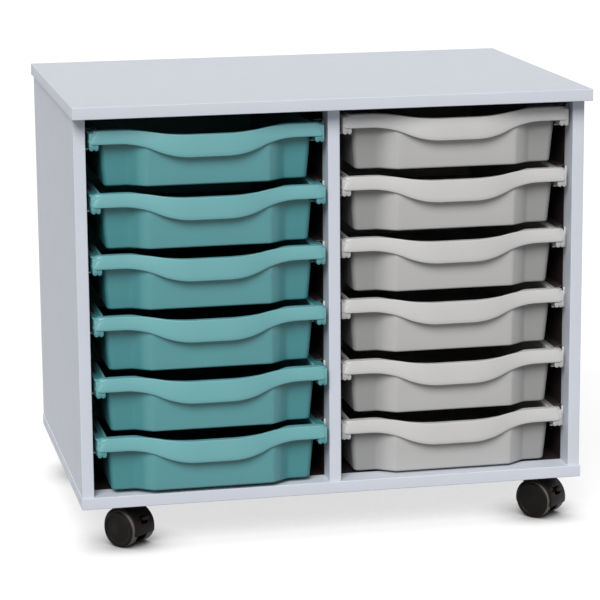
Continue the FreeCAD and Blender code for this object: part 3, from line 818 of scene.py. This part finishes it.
    def hanging_skin(self, stretch, t, edge):
        """Down the handle's face, round its lower edge and up its back."""
        corner = {"front_corner": t, "side": 1.0}.get(stretch, 0.0)
        low, bend = self.low_z(self.rim_at(stretch, t, 0)[0]), self.skin_round
        face_high, face_low = edge.top - edge.radius, low + bend
        points = []
        for n in range(1, 6):
            s = n / 6
            crown = self.skin_crown * math.sin(math.pi * s) * (1 - corner)
            at = self.rim_at(stretch, t, edge.lean * (1 - s) - crown)
            points.append((*at, face_high + s * (face_low - face_high)))
        for a in quarter(2):
            at = self.rim_at(stretch, t, bend * (1 - math.cos(a)))
            points.append((*at, low + bend * (1 - math.sin(a))))
        for a in quarter(2)[1:]:
            at = self.rim_at(stretch, t, self.skin - bend * (1 - math.sin(a)))
            points.append((*at, low + bend * (1 - math.cos(a))))
        taper = (0.5 + 2 * corner) * MM  # the skin thickens towards the rim, most at the sides
        under = self.under_z(*self.rim_at(stretch, t, self.skin + taper), edge)
        for s in (0.35, 0.7, 1.0):
            at = self.rim_at(stretch, t, self.skin + taper * s)
            points.append((*at, face_low + s * (under - face_low)))
        return points

    def bare_edge(self, stretch, t, edge):
        """Down the edge where no skin hangs, round it and a little way in, in as many points."""
        under = edge.top - self.rim
        row = 0.03 * MM
        points = []
        for n in range(1, 6):
            at = self.rim_at(stretch, t, edge.tuck)
            points.append((*at, edge.top - edge.radius - n * row))
        for a in quarter(2):
            at = self.rim_at(stretch, t, edge.tuck + edge.radius * (1 - math.cos(a)))
            points.append((*at, under + edge.radius * (1 - math.sin(a))))
        for inwards in (0.2, 0.4, 0.65, 0.95, 1.2):
            at = self.rim_at(stretch, t, edge.tuck + edge.radius + inwards * MM)
            points.append((*at, under))
        return points

    def lower_rim(self, stretch, t, edge, start):
        """In along the rim's lower face to the body's wall."""
        outer = Vector(start[:2])
        inner = self.wall_at(stretch, t, 0, -self.rim_round)
        inwards = [outer.lerp(inner, n / 7) for n in range(1, 8)]
        return [(*at, self.under_z(*at, edge)) for at in inwards]

    def outer_wall(self, stretch, t, under):
        """From under the rim down to the outer floor."""
        bend = self.floor_round
        rows = [(under - self.rim_round, 0)]
        rows += [(-share * self.height, 0) for share in self.WALL_ROWS]
        for a in quarter(5):
            rows.append((-self.height + bend * (1 - math.sin(a)), bend * (1 - math.cos(a))))
        rows.append((-self.height, 1.8 * bend))
        return self.wall_points(stretch, t, rows)

    def section(self, stretch, t, hangs):
        """Points from the inner floor over the rim to the outer floor, at one station."""
        edge = self.rim_edge(stretch, t, hangs)
        points = self.inner_wall(stretch, t) + self.upper_rim(stretch, t, edge)
        outside = self.hanging_skin if hangs else self.bare_edge
        points += outside(stretch, t, edge)
        points += self.lower_rim(stretch, t, edge, points[-1])
        return points + self.outer_wall(stretch, t, points[-1][2])

    def painted_shade(self, x, y, z):
        """How deep the painted shade is: none on handle and rim, most at the front wall's ends, where the handle
        and the recess would shade the wall.
        """
        beside_body, below_handle, handle_high, skin_deep = 13.5 * MM, 0.5 * MM, 10 * MM, 1.8 * MM
        front_until, side_from = 25 * MM, 60 * MM
        leg_tone, rim_tone, panel_tone, end_tone, side_tone = 0.4, 0.7, 0.24, 0.6, 0.15
        if self.half - abs(x) < beside_body:
            if z < -self.looks.handle_height - below_handle:
                return leg_tone
            return rim_tone * smooth(y, self.overhang, self.overhang + 4 * MM)
        if z > self.top_z(x) - handle_high or y - self.rim_y(x) < skin_deep:
            return 0.0
        front = panel_tone + end_tone * smooth(abs(x), self.panel + 6 * MM, self.panel_end + 4 * MM)
        behind = smooth(y, front_until, side_from)
        return front * (1 - behind) + side_tone * behind

    def shell(self):
        """The moulding without its legs, as one closed skin in a bmesh."""
        bm = bmesh.new()
        right = [self.section(*station) for station in self.stations()]
        left = [[(-x, y, z) for x, y, z in section] for section in right[1:-1]]
        rings = right + left[::-1]
        verts = [[bm.verts.new(point) for point in section] for section in rings]
        for here, there in zip(verts, verts[1:] + verts[:1]):
            for n in range(len(here) - 1):
                bm.faces.new((here[n], there[n], there[n + 1], here[n + 1]))
        bm.faces.new([section[0] for section in verts])
        bm.faces.new([section[-1] for section in verts][::-1])
        bmesh.ops.recalc_face_normals(bm, faces=bm.faces)
        return bm

    def legs(self):
        """Two legs under each side rim, and the lobed plate that joins them at the front, each in a bmesh."""
        made = []
        leg, spacing, low = 2 * MM, 10 * MM, -25.5 * MM
        plate_back, overlap = 6 * MM, 1 * MM
        outer = self.half - 1 * MM
        inner = outer - spacing
        top = -self.rim_drop - self.rim / 2
        back = self.depth - 9 * MM
        for side in (1, -1):
            for x in (outer, inner):
                xs = sorted((side * x, side * (x - leg)))
                made.append(self.leg(xs, plate_back - overlap, back, low, top))
            made.append(self.lobes(side, inner - leg, outer, low, top, plate_back))
        return made

    def leg(self, xs, front, back, low, top):
        """One leg, whose front end is cut back under the lobes."""
        cut_long, cut_high = 9 * MM, 4.5 * MM
        outline = [(front, top), (front, low + cut_high), (front + cut_long, low), (back, low), (back, top)]
        bm = prism(*([(x, y, z) for y, z in outline] for x in xs))
        middle = (low + top) / 2
        lower = [edge for edge in bm.edges if max(vert.co.z for vert in edge.verts) < middle]
        round_edges(bm, lower, 0.6 * MM)
        return bm

    def lobes(self, side, x0, x1, low, top, back):
        """The plate at the legs' front ends, with two rounded teeth."""
        front = 2.2 * MM
        lobe = (x1 - x0) / 4
        outline = [(x0, top), (x1, top)]
        for middle, first in ((x1 - lobe, 0), (x0 + lobe, 1)):  # the teeth meet in one point
            for n in range(first, 9):
                a = n / 8 * math.pi
                outline.append((middle + lobe * math.cos(a), low + lobe * (1 - math.sin(a))))
        bm = prism(*([(side * x, y, z) for x, z in outline] for y in (front, back)))
        middle = (front + back) / 2
        foremost = [edge for edge in bm.edges if max(vert.co.y for vert in edge.verts) < middle]
        round_edges(bm, foremost, 0.8 * MM)
        return bm


def tray_mesh(looks):
    """One tray in its own frame, from the size of the first CAD tray."""
    form = TrayForm(looks, *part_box("tray_left_1"))
    mesh = united("tray", [form.shell(), *form.legs()])
    # painted shade, as a value on each point of the tray
    tone = mesh.attributes.new("painted_shade", "FLOAT", "POINT")
    for vertex, value in zip(mesh.vertices, tone.data):
        value.value = form.painted_shade(*vertex.co)
    return mesh


class OBJECT_OT_tray_store_trays(bpy.types.Operator):
    """Mould the twelve trays, each on its own body"""

    bl_idname = "object.tray_store_trays"
    bl_label = "Trays"

    def execute(self, context):
        looks = context.scene.tray_store_trays
        white = linear("#E9ECEC")
        plastics = {
            "left": moulded_plastic(  # deepened by painted shade under the handle, at the recessed ends and on the rims
                "TealPolypropylene", looks.teal, roughness=0.4, wear_and_highlight_colour=white, wear_and_highlight=0.18,
                painted_shade=(looks.teal_painted_shade, 0.45),
            ),
            "right": moulded_plastic(
                "GreyPolypropylene", looks.grey, roughness=0.42, wear_and_highlight_colour=white, wear_and_highlight=0.12,
                painted_shade=(looks.grey_painted_shade, 1.0),
            ),
        }
        pattern = tray_mesh(looks)
        for bay in BAYS:
            for row in ROWS:
                node = f"tray_{bay}_{row}"
                low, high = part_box(node)
                mesh = pattern.copy()
                place = Vector(((low.x + high.x) / 2, low.y + looks.bulge, high.z))
                mesh.transform(Matrix.Translation(place))
                dressed(object_of(node + "_moulding", mesh, [plastics[bay]]), node)
        bpy.data.meshes.remove(pattern)
        return {"FINISHED"}


# ---- carcass


def bay_shade(looks, front):
    """The box inside the bays, behind y = front, in which painted shadow makes the faces near-black, and its
    colour.
    """
    low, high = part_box("left_side_panel")
    half_board = (high.x - low.x) / 2
    into_back, soft_edge = 1 * MM, 1.5 * MM
    near = Vector((low.x + half_board, front, low.z - half_board))
    far = Vector((-near.x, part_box("back_panel")[0].y + into_back, high.z + half_board))
    return near, far, soft_edge, looks.inner


class OBJECT_OT_tray_store_boards(bpy.types.Operator):
    """Face the boards and lay their edge bands"""

    bl_idname = "object.tray_store_boards"
    bl_label = "Boards"

    def execute(self, context):
        looks = context.scene.tray_store_boards
        # the faces inside the bays are painted near-black as shadow behind a lit strip at the front
        light_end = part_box("left_side_panel")[0].y + looks.light_depth
        facing = melamine("GreyMelamine", looks.facing, bay_shade(looks, light_end))
        for node in ("top_panel", "bottom_panel", "left_side_panel", "right_side_panel", "centre_divider"):
            finish_node(node, facing)
        # the back panel is painted near-black as the shade deep in the bays
        finish_node("back_panel", melamine("BackPanelPaintedShade", looks.back))
        # Paler edges on the bands: rubbed wear and a painted highlight along the arris.
        band = moulded_plastic(
            "GreyEdgeBand", looks.band, roughness=0.42, wear_and_highlight_colour=linear("#F2F4F8"), wear_and_highlight=0.3
        )
        for node in ("top_edge_bands", "bottom_edge_bands", "side_edge_bands", "divider_edge_band"):
            softened(node, band, looks.seam, segments=1)
        finish_node("carcass_dowels", beech("BeechDowel", linear("#C9A273")))
        return {"FINISHED"}


# ---- runners and screws


class OBJECT_OT_tray_store_runners(bpy.types.Operator):
    """Mould the runners that the trays slide in"""

    bl_idname = "object.tray_store_runners"
    bl_label = "Runners"

    def execute(self, context):
        looks = context.scene.tray_store_fittings
        # the runners are painted near-black as shade behind their front tips
        light_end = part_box("runner_pair_left_1")[0].y + looks.light_tip
        shade = bay_shade(context.scene.tray_store_boards, light_end)
        plastic = moulded_plastic(
            "RunnerPolypropylene", looks.runner, roughness=0.36, wear_and_highlight_colour=linear("#DDDDDD"), wear_and_highlight=0.2, shade=shade
        )
        for bay in BAYS:
            for row in ROWS:
                softened(f"runner_pair_{bay}_{row}", plastic, 0.35 * MM)
        return {"FINISHED"}


def solids(node):
    """The corners of each separate solid of a CAD node."""
    bm = bmesh.new()
    bm.from_mesh(frame["nodes"][node].data)
    bmesh.ops.remove_doubles(bm, verts=bm.verts, dist=WELD)
    found = []
    for first in bm.verts:
        if first.tag:
            continue
        first.tag = True
        solid = [first]
        for vertex in solid:
            for edge in vertex.link_edges:
                other = edge.other_vert(vertex)
                if not other.tag:
                    other.tag = True
                    solid.append(other)
        found.append([vertex.co.copy() for vertex in solid])
    bm.free()
    return found


def screw_place(corners):
    """Where a screw's head ends, which way it points out, and its sizes, from its solid's corners."""
    low, high = (Vector(pick(c[axis] for c in corners) for axis in range(3)) for pick in (min, max))
    along = max(range(3), key=lambda axis: (high - low)[axis])
    middle = (low + high) / 2
    reach = []
    for corner in corners:
        arm = corner - middle
        arm[along] = 0
        reach.append(arm.length)
    head_radius = max(reach)
    near_rim, off_axis = 0.95, 0.25  # shares of that radius
    head = [c[along] for c, r in zip(corners, reach) if r > near_rim * head_radius]
    sign = 1 if sum(head) / len(head) > middle[along] else -1
    outward = Vector((0, 0, 0))
    outward[along] = sign
    sizes = {
        "Head Radius": head_radius,
        "Head Height": max(head) - min(head),
        "Shank Radius": min(r for r in reach if r > off_axis * head_radius),
        "Length": (high - low)[along],
    }
    return middle + outward * sizes["Length"] / 2, outward, sizes


def screw_tree():
    """Geometry Nodes: a domed head with a cross recess and a ridged shank on every point, which
    points along the "outward" attribute and is turned by chance."""
    tree = bpy.data.node_groups.new("ScrewSet", "GeometryNodeTree")
    kinds = {"Geometry": "Geometry", "Seed": "Int", "Material": "Material"}
    sizes = ("Head Radius", "Head Height", "Shank Radius", "Length", "Recess Width")
    for title in (*kinds, *sizes):
        tree.interface.new_socket(title, in_out="INPUT", socket_type="NodeSocket" + kinds.get(title, "Float"))
    tree.interface.new_socket("Geometry", in_out="OUTPUT", socket_type="NodeSocketGeometry")
    given = add(tree, "NodeGroupInput").outputs
    place = add(tree, "GeometryNodeInputPosition")
    height = add(tree, "ShaderNodeSeparateXYZ", {"Vector": place}).outputs["Z"]
    ridge_rows = 20

    def turned(rows, vertices, radius, depth, width_at):
        """A closed turned form about Z: width_at gives its share of the radius from its share of height."""
        tube = add(
            tree, "GeometryNodeMeshCylinder",
            {"Vertices": vertices, "Side Segments": rows, "Radius": radius, "Depth": depth}, fill_type="NGON",
        )
        up = maths(tree, "DIVIDE", height, depth)
        width = width_at(maths(tree, "ADD", up, 0.5))
        wide = add(tree, "ShaderNodeCombineXYZ", {"X": width, "Y": width, "Z": 1.0})
        moved = add(tree, "ShaderNodeVectorMath", {0: place, 1: wide}, operation="MULTIPLY")
        return add(tree, "GeometryNodeSetPosition", {"Geometry": tube, "Position": moved})

    def raised(mesh, z):
        """The mesh moved along Z."""
        offset = add(tree, "ShaderNodeCombineXYZ", {"Z": z})
        return add(tree, "GeometryNodeTransform", {"Geometry": mesh, "Translation": offset})

    def domed(share):
        """Full width at the underside and narrower towards the top, on an ellipse."""
        fall = 0.6
        square = maths(tree, "MULTIPLY", share, share)
        return maths(tree, "SQRT", maths(tree, "MULTIPLY_ADD", square, -fall, 1.0))

    def ridged(share):
        """Rows in turn at full width and a fifth narrower."""
        swing = 0.1
        turn = maths(tree, "MULTIPLY", share, math.pi * ridge_rows)
        return maths(tree, "MULTIPLY_ADD", maths(tree, "COSINE", turn), swing, 1 - swing)

    half_head = maths(tree, "MULTIPLY", given["Head Height"], 0.5)
    dome_rows, head_sides, shank_sides = 4, 24, 12
    head = turned(dome_rows, head_sides, given["Head Radius"], given["Head Height"], domed)
    head = raised(head, maths(tree, "MULTIPLY", half_head, -1.0))
    run = maths(tree, "SUBTRACT", given["Length"], half_head)
    reach = maths(tree, "ADD", given["Length"], half_head)
    shank = turned(ridge_rows, shank_sides, given["Shank Radius"], run, ridged)
    shank = raised(shank, maths(tree, "MULTIPLY", reach, -0.5))
    screw = add(tree, "GeometryNodeMeshBoolean", {"Mesh 2": head}, operation="UNION", solver="EXACT")
    feed(tree, screw, {"Mesh 2": shank})
    arm_share = 0.26
    slim = maths(tree, "MULTIPLY", given["Recess Width"], arm_share)
    for x, y in ((given["Recess Width"], slim), (slim, given["Recess Width"])):
        size = add(tree, "ShaderNodeCombineXYZ", {"X": x, "Y": y, "Z": given["Head Height"]})
        slot = add(tree, "GeometryNodeMeshCube", {"Size": size})
        screw = add(
            tree, "GeometryNodeMeshBoolean", {"Mesh 1": screw, "Mesh 2": slot},
            operation="DIFFERENCE", solver="EXACT",
        )
    outward = add(tree, "GeometryNodeInputNamedAttribute", {"Name": "outward"}, data_type="FLOAT_VECTOR")
    aligned = add(tree, "FunctionNodeAlignRotationToVector", {"Vector": outward}, axis="Z")
    low, high = 2, 3  # the sockets of a Random Value node that picks a number
    chance = add(
        tree, "FunctionNodeRandomValue", {low: 0.0, high: math.tau, "Seed": given["Seed"]}, data_type="FLOAT"
    )
    spin = add(tree, "FunctionNodeAxisAngleToRotation", {"Axis": (0, 0, 1), "Angle": chance})
    facing = add(
        tree, "FunctionNodeRotateRotation", {"Rotation": aligned, "Rotate By": spin}, rotation_space="LOCAL"
    )
    placed = add(
        tree, "GeometryNodeInstanceOnPoints",
        {"Points": given["Geometry"], "Instance": screw, "Rotation": facing},
    )
    real = add(tree, "GeometryNodeRealizeInstances", {"Geometry": placed})
    done = add(tree, "GeometryNodeSetMaterial", {"Geometry": real, "Material": given["Material"]})
    add(tree, "NodeGroupOutput", {"Geometry": done})
    return tree


def screw_set(node, tree, steel, looks):
    """All the screws of a CAD node, each where its solid is, as one plain mesh."""
    screws = [screw_place(corners) for corners in solids(node)]
    mesh = bpy.data.meshes.new(node)
    mesh.from_pydata([place for place, _, _ in screws], [], [])
    outward = mesh.attributes.new("outward", "FLOAT_VECTOR", "POINT")
    for item, (_, direction, _) in zip(outward.data, screws):
        item.vector = direction
    source = linked(node + "_points", mesh)
    modifier = source.modifiers.new("screws", "NODES")
    modifier.node_group = tree
    sizes = screws[0][2]
    values = {
        **sizes, "Recess Width": looks.recess * 2 * sizes["Head Radius"],
        "Seed": looks.turn_seed, "Material": steel,
    }
    for item in tree.interface.items_tree:
        if item.in_out == "INPUT" and item.name in values:
            modifier[item.identifier] = values[item.name]
    dressed(object_of(node + "_set", baked(source, node + "_set")), node)


class OBJECT_OT_tray_store_screws(bpy.types.Operator):
    """Set the runners' and the casters' screws"""

    bl_idname = "object.tray_store_screws"
    bl_label = "Screws"

    def execute(self, context):
        looks = context.scene.tray_store_fittings
        steel = zinc_plated_steel("ScrewZinc", looks.zinc)
        tree = screw_tree()
        for node in ("runner_screws", "caster_screws"):
            screw_set(node, tree, steel, looks)
        return {"FINISHED"}


class OBJECT_OT_tray_store_casters(bpy.types.Operator):
    """Finish the casters: plates, hoods, axles, wheels and brake levers"""

    bl_idname = "object.tray_store_casters"
    bl_label = "Casters"

    def execute(self, context):
        looks = context.scene.tray_store_fittings
        steel = zinc_plated_steel("ZincPlatedSteel", looks.zinc)
        nylon = moulded_plastic(
            "CasterNylon", looks.nylon, roughness=0.4, wear_and_highlight_colour=linear("#2E2725"), wear_and_highlight=0.5, shine=0.12
        )
        disc = moulded_plastic(
            "WheelNylon", looks.wheel, roughness=0.45, wear_and_highlight_colour=linear("#2E2A28"), wear_and_highlight=0.5, shine=0.12
        )
        tread = tread_rubber("TreadRubber", looks.tread)
        for name in CASTERS:
            softened("caster_plate_" + name, steel, 0.4 * MM)
            softened("caster_hood_" + name, nylon, 0.35 * MM, segments=3, clamp=False)
            finish_node("caster_axle_" + name, steel)
            for side in "ab":
                wheel(f"caster_wheel_{side}_{name}", JOINTS[f"spin_{side}_{name}"], disc, tread)
        for name in CASTERS[:2]:
            softened("brake_lever_" + name, nylon, 0.5 * MM, segments=3)
        return {"FINISHED"}


def wheel_outline(out, hub_in, radius):
    """(Place along the axle, radius) of the half section's corners, from the outer face to the bore."""
    face, rim = out - 1.0 * MM, radius - 4.8 * MM  # the disc lies a little behind its rim
    boss_out, boss, boss_foot = face + 0.3 * MM, 6 * MM, 7 * MM
    rim_in, ring = 10 * MM, radius - 3.5 * MM
    web, hub, bore, ease = 20 * MM, 8 * MM, 3.05 * MM, 0.4 * MM
    # millimetres in from the outer or the inner face, and down from the wheel's radius
    shoulder = ((0, 2.4), (0.15, 1.5), (0.6, 0.7), (1.3, 0.25))
    tread_lip = ((2.0, 0.2), (2.2, 0.1), (2.7, 0))
    inner_shoulder = ((1.2, 0), (0.4, 0.3), (0, 1))
    return [
        (boss_out, 0), (boss_out, boss), (face, boss_foot),
        (face, rim - 1.7 * MM), (out - 0.25 * MM, rim - 0.6 * MM), (out, rim),
        *((out - inwards * MM, radius - down * MM) for inwards, down in shoulder + tread_lip),
        *((rim_in + outwards * MM, radius - down * MM) for outwards, down in inner_shoulder),
        (rim_in, ring + ease), (rim_in + ease, ring), (web, ring), (web + ease, ring - ease),
        (web + ease, hub + ease), (web, hub), (hub_in + ease, hub), (hub_in, hub - ease),
        (hub_in, bore + ease), (hub_in + ease, bore), (web, bore), (web, 0),
    ]


TREAD_CORNERS = range(10, 15)  # the corners of a wheel's outline from which the rubber lies


def wheel(node, joint, disc, tread):
    """A turned wheel: a disc behind its rim outside, rubber round its tread, hollow inside."""
    centre, axis = Vector(joint["pos_m"]), Vector(joint["axis"]).normalized()
    reach = [(vertex.co - centre).dot(axis) for vertex in frame["nodes"][node].data.vertices]
    if max(reach) + min(reach) < 0:
        axis = -axis
        reach = [-at for at in reach]
    outline = wheel_outline(max(reach), min(reach), centre.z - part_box(node)[0].z)
    bm = bmesh.new()
    steps = 72
    turn = [n / steps * math.tau for n in range(steps)]
    rings = []
    for x, r in outline:
        ring = [bm.verts.new((x, r * math.cos(a), r * math.sin(a))) for a in (turn if r else [0])]
        rings.append(ring)
    for index, (here, there) in enumerate(zip(rings, rings[1:])):
        for n in range(steps):
            m = (n + 1) % steps
            corners = [here[n % len(here)], there[n % len(there)], there[m % len(there)], here[m % len(here)]]
            face = bm.faces.new(list(dict.fromkeys(corners)))
            face.material_index = 1 if index in TREAD_CORNERS else 0
    bmesh.ops.recalc_face_normals(bm, faces=bm.faces)
    up = Vector((0, 0, 1))
    place = Matrix((axis, up.cross(axis), up)).transposed().to_4x4()
    place.translation = centre
    bm.transform(place)
    turned = node + "_turned"
    dressed(object_of(turned, mesh_of(turned, bm), [disc, tread]), node)


# ---- stage


class OBJECT_OT_tray_store_stage(bpy.types.Operator):
    """Lay the floor, set the lights and place the camera"""

    bl_idname = "object.tray_store_stage"
    bl_label = "Stage"

    def execute(self, context):
        looks = context.scene.tray_store_stage
        scene = context.scene
        scene.view_settings.view_transform = "Standard"
        floor_piece(looks)
        sky(scene, looks)
        lamp("Key", looks.key, looks.softness, Vector(looks.key_from))
        camera(scene, looks)
        return {"FINISHED"}


def background_ray(tree):
    """1 for rays that show the background: from the camera, off gloss and through glass."""
    path = add(tree, "ShaderNodeLightPath").outputs
    seen = maths(tree, "MAXIMUM", path["Is Camera Ray"], path["Is Glossy Ray"])
    return maths(tree, "MAXIMUM", seen, path["Is Transmission Ray"])


def floor_piece(looks):
    """A wide floor that keeps the shadow and shows white where it is lit, with a painted contact shadow near the
    unit.
    """
    bm = bmesh.new()
    reach = 40  # metres to each side
    bmesh.ops.create_grid(bm, x_segments=1, y_segments=1, size=reach)
    material = bpy.data.materials.new("PaleFloor")
    tree = emptied(material)
    paint = add(tree, "ShaderNodeBsdfDiffuse", {"Color": tuple(looks.floor)})
    # painted contact shadow: ambient occlusion fades the white lift under and beside the unit
    near = add(tree, "ShaderNodeAmbientOcclusion", {"Distance": looks.contact}, samples=8).outputs["AO"]
    under_unit, in_the_open = 0.35, 0.95
    open_floor = ranged(tree, near, under_unit, in_the_open, 0.0, looks.lift)
    lift = maths(tree, "MULTIPLY", background_ray(tree), open_floor)
    glow = add(tree, "ShaderNodeEmission", {"Strength": lift})
    both = add(tree, "ShaderNodeAddShader", {0: paint, 1: glow})
    add(tree, "ShaderNodeOutputMaterial", {"Surface": both})
    object_of("Floor", mesh_of("Floor", bm), [material])


def sky(scene, looks):
    """Even light from all round, and a white background."""
    world = bpy.data.worlds.new("PaleRoom")
    scene.world = world
    tree = emptied(world)
    strength = ranged(tree, background_ray(tree), 0.0, 1.0, looks.sky, 1.0)
    light = add(tree, "ShaderNodeBackground", {"Strength": strength, "Color": (1, 1, 1, 1)})
    add(tree, "ShaderNodeOutputWorld", {"Surface": light})


def lamp(name, strength, angle, towards):
    """A broad distant lamp. towards points from the object to the lamp."""
    data = bpy.data.lights.new(name, "SUN")
    data.energy = strength
    data.angle = angle
    obj = linked(name, data)
    obj.rotation_mode = "QUATERNION"
    obj.rotation_quaternion = towards.to_track_quat("Z", "Y")


def camera(scene, looks):
    """The camera at the chosen viewing angle."""
    yaw, pitch, roll = looks.camera_yaw, looks.camera_pitch, looks.camera_roll
    ahead = Vector((math.sin(yaw) * math.cos(pitch), math.cos(yaw) * math.cos(pitch), -math.sin(pitch)))
    right = Vector((math.cos(yaw), -math.sin(yaw), 0))
    down = ahead.cross(right)
    x = math.cos(roll) * right + math.sin(roll) * down
    y = math.sin(roll) * right - math.cos(roll) * down
    data = bpy.data.cameras.new("Camera")
    data.sensor_width = 36
    data.lens = looks.lens
    data.clip_end = 100
    obj = linked("Camera", data)
    place = Matrix((x, y, -ahead)).transposed().to_4x4()
    place.translation = looks.camera_at
    obj.matrix_world = place
    scene.camera = obj


# ---- add-on


class VIEW3D_PT_tray_store(bpy.types.Panel):
    """Builds the tray storage unit piece by piece"""

    bl_label = "Tray Storage"
    bl_idname = "VIEW3D_PT_tray_store"
    bl_space_type = "VIEW_3D"
    bl_region_type = "UI"
    bl_category = "Tray Storage"

    def draw(self, context):
        column = self.layout.column()
        for operator in OPERATORS:
            column.operator(operator.bl_idname)


OPERATORS = (
    OBJECT_OT_tray_store_boards,
    OBJECT_OT_tray_store_trays,
    OBJECT_OT_tray_store_runners,
    OBJECT_OT_tray_store_screws,
    OBJECT_OT_tray_store_casters,
    OBJECT_OT_tray_store_stage,
)
GROUPS = {
    "tray_store_trays": TrayStoreTrays,
    "tray_store_boards": TrayStoreBoards,
    "tray_store_fittings": TrayStoreFittings,
    "tray_store_stage": TrayStoreStage,
}


def register():
    for group in (*GROUPS.values(), *OPERATORS, VIEW3D_PT_tray_store):
        bpy.utils.register_class(group)
    for name, group in GROUPS.items():
        setattr(bpy.types.Scene, name, PointerProperty(type=group))


def unregister():
    for name in GROUPS:
        delattr(bpy.types.Scene, name)
    for group in (VIEW3D_PT_tray_store, *OPERATORS[::-1], *GROUPS.values()):
        bpy.utils.unregister_class(group)


def main():
    """Builds the unit."""
    register()
    bpy.ops.object.tray_store_boards()
    bpy.ops.object.tray_store_trays()
    bpy.ops.object.tray_store_runners()
    bpy.ops.object.tray_store_screws()
    bpy.ops.object.tray_store_casters()
    bpy.ops.object.tray_store_stage()


if __name__ == "__main__":
    main()
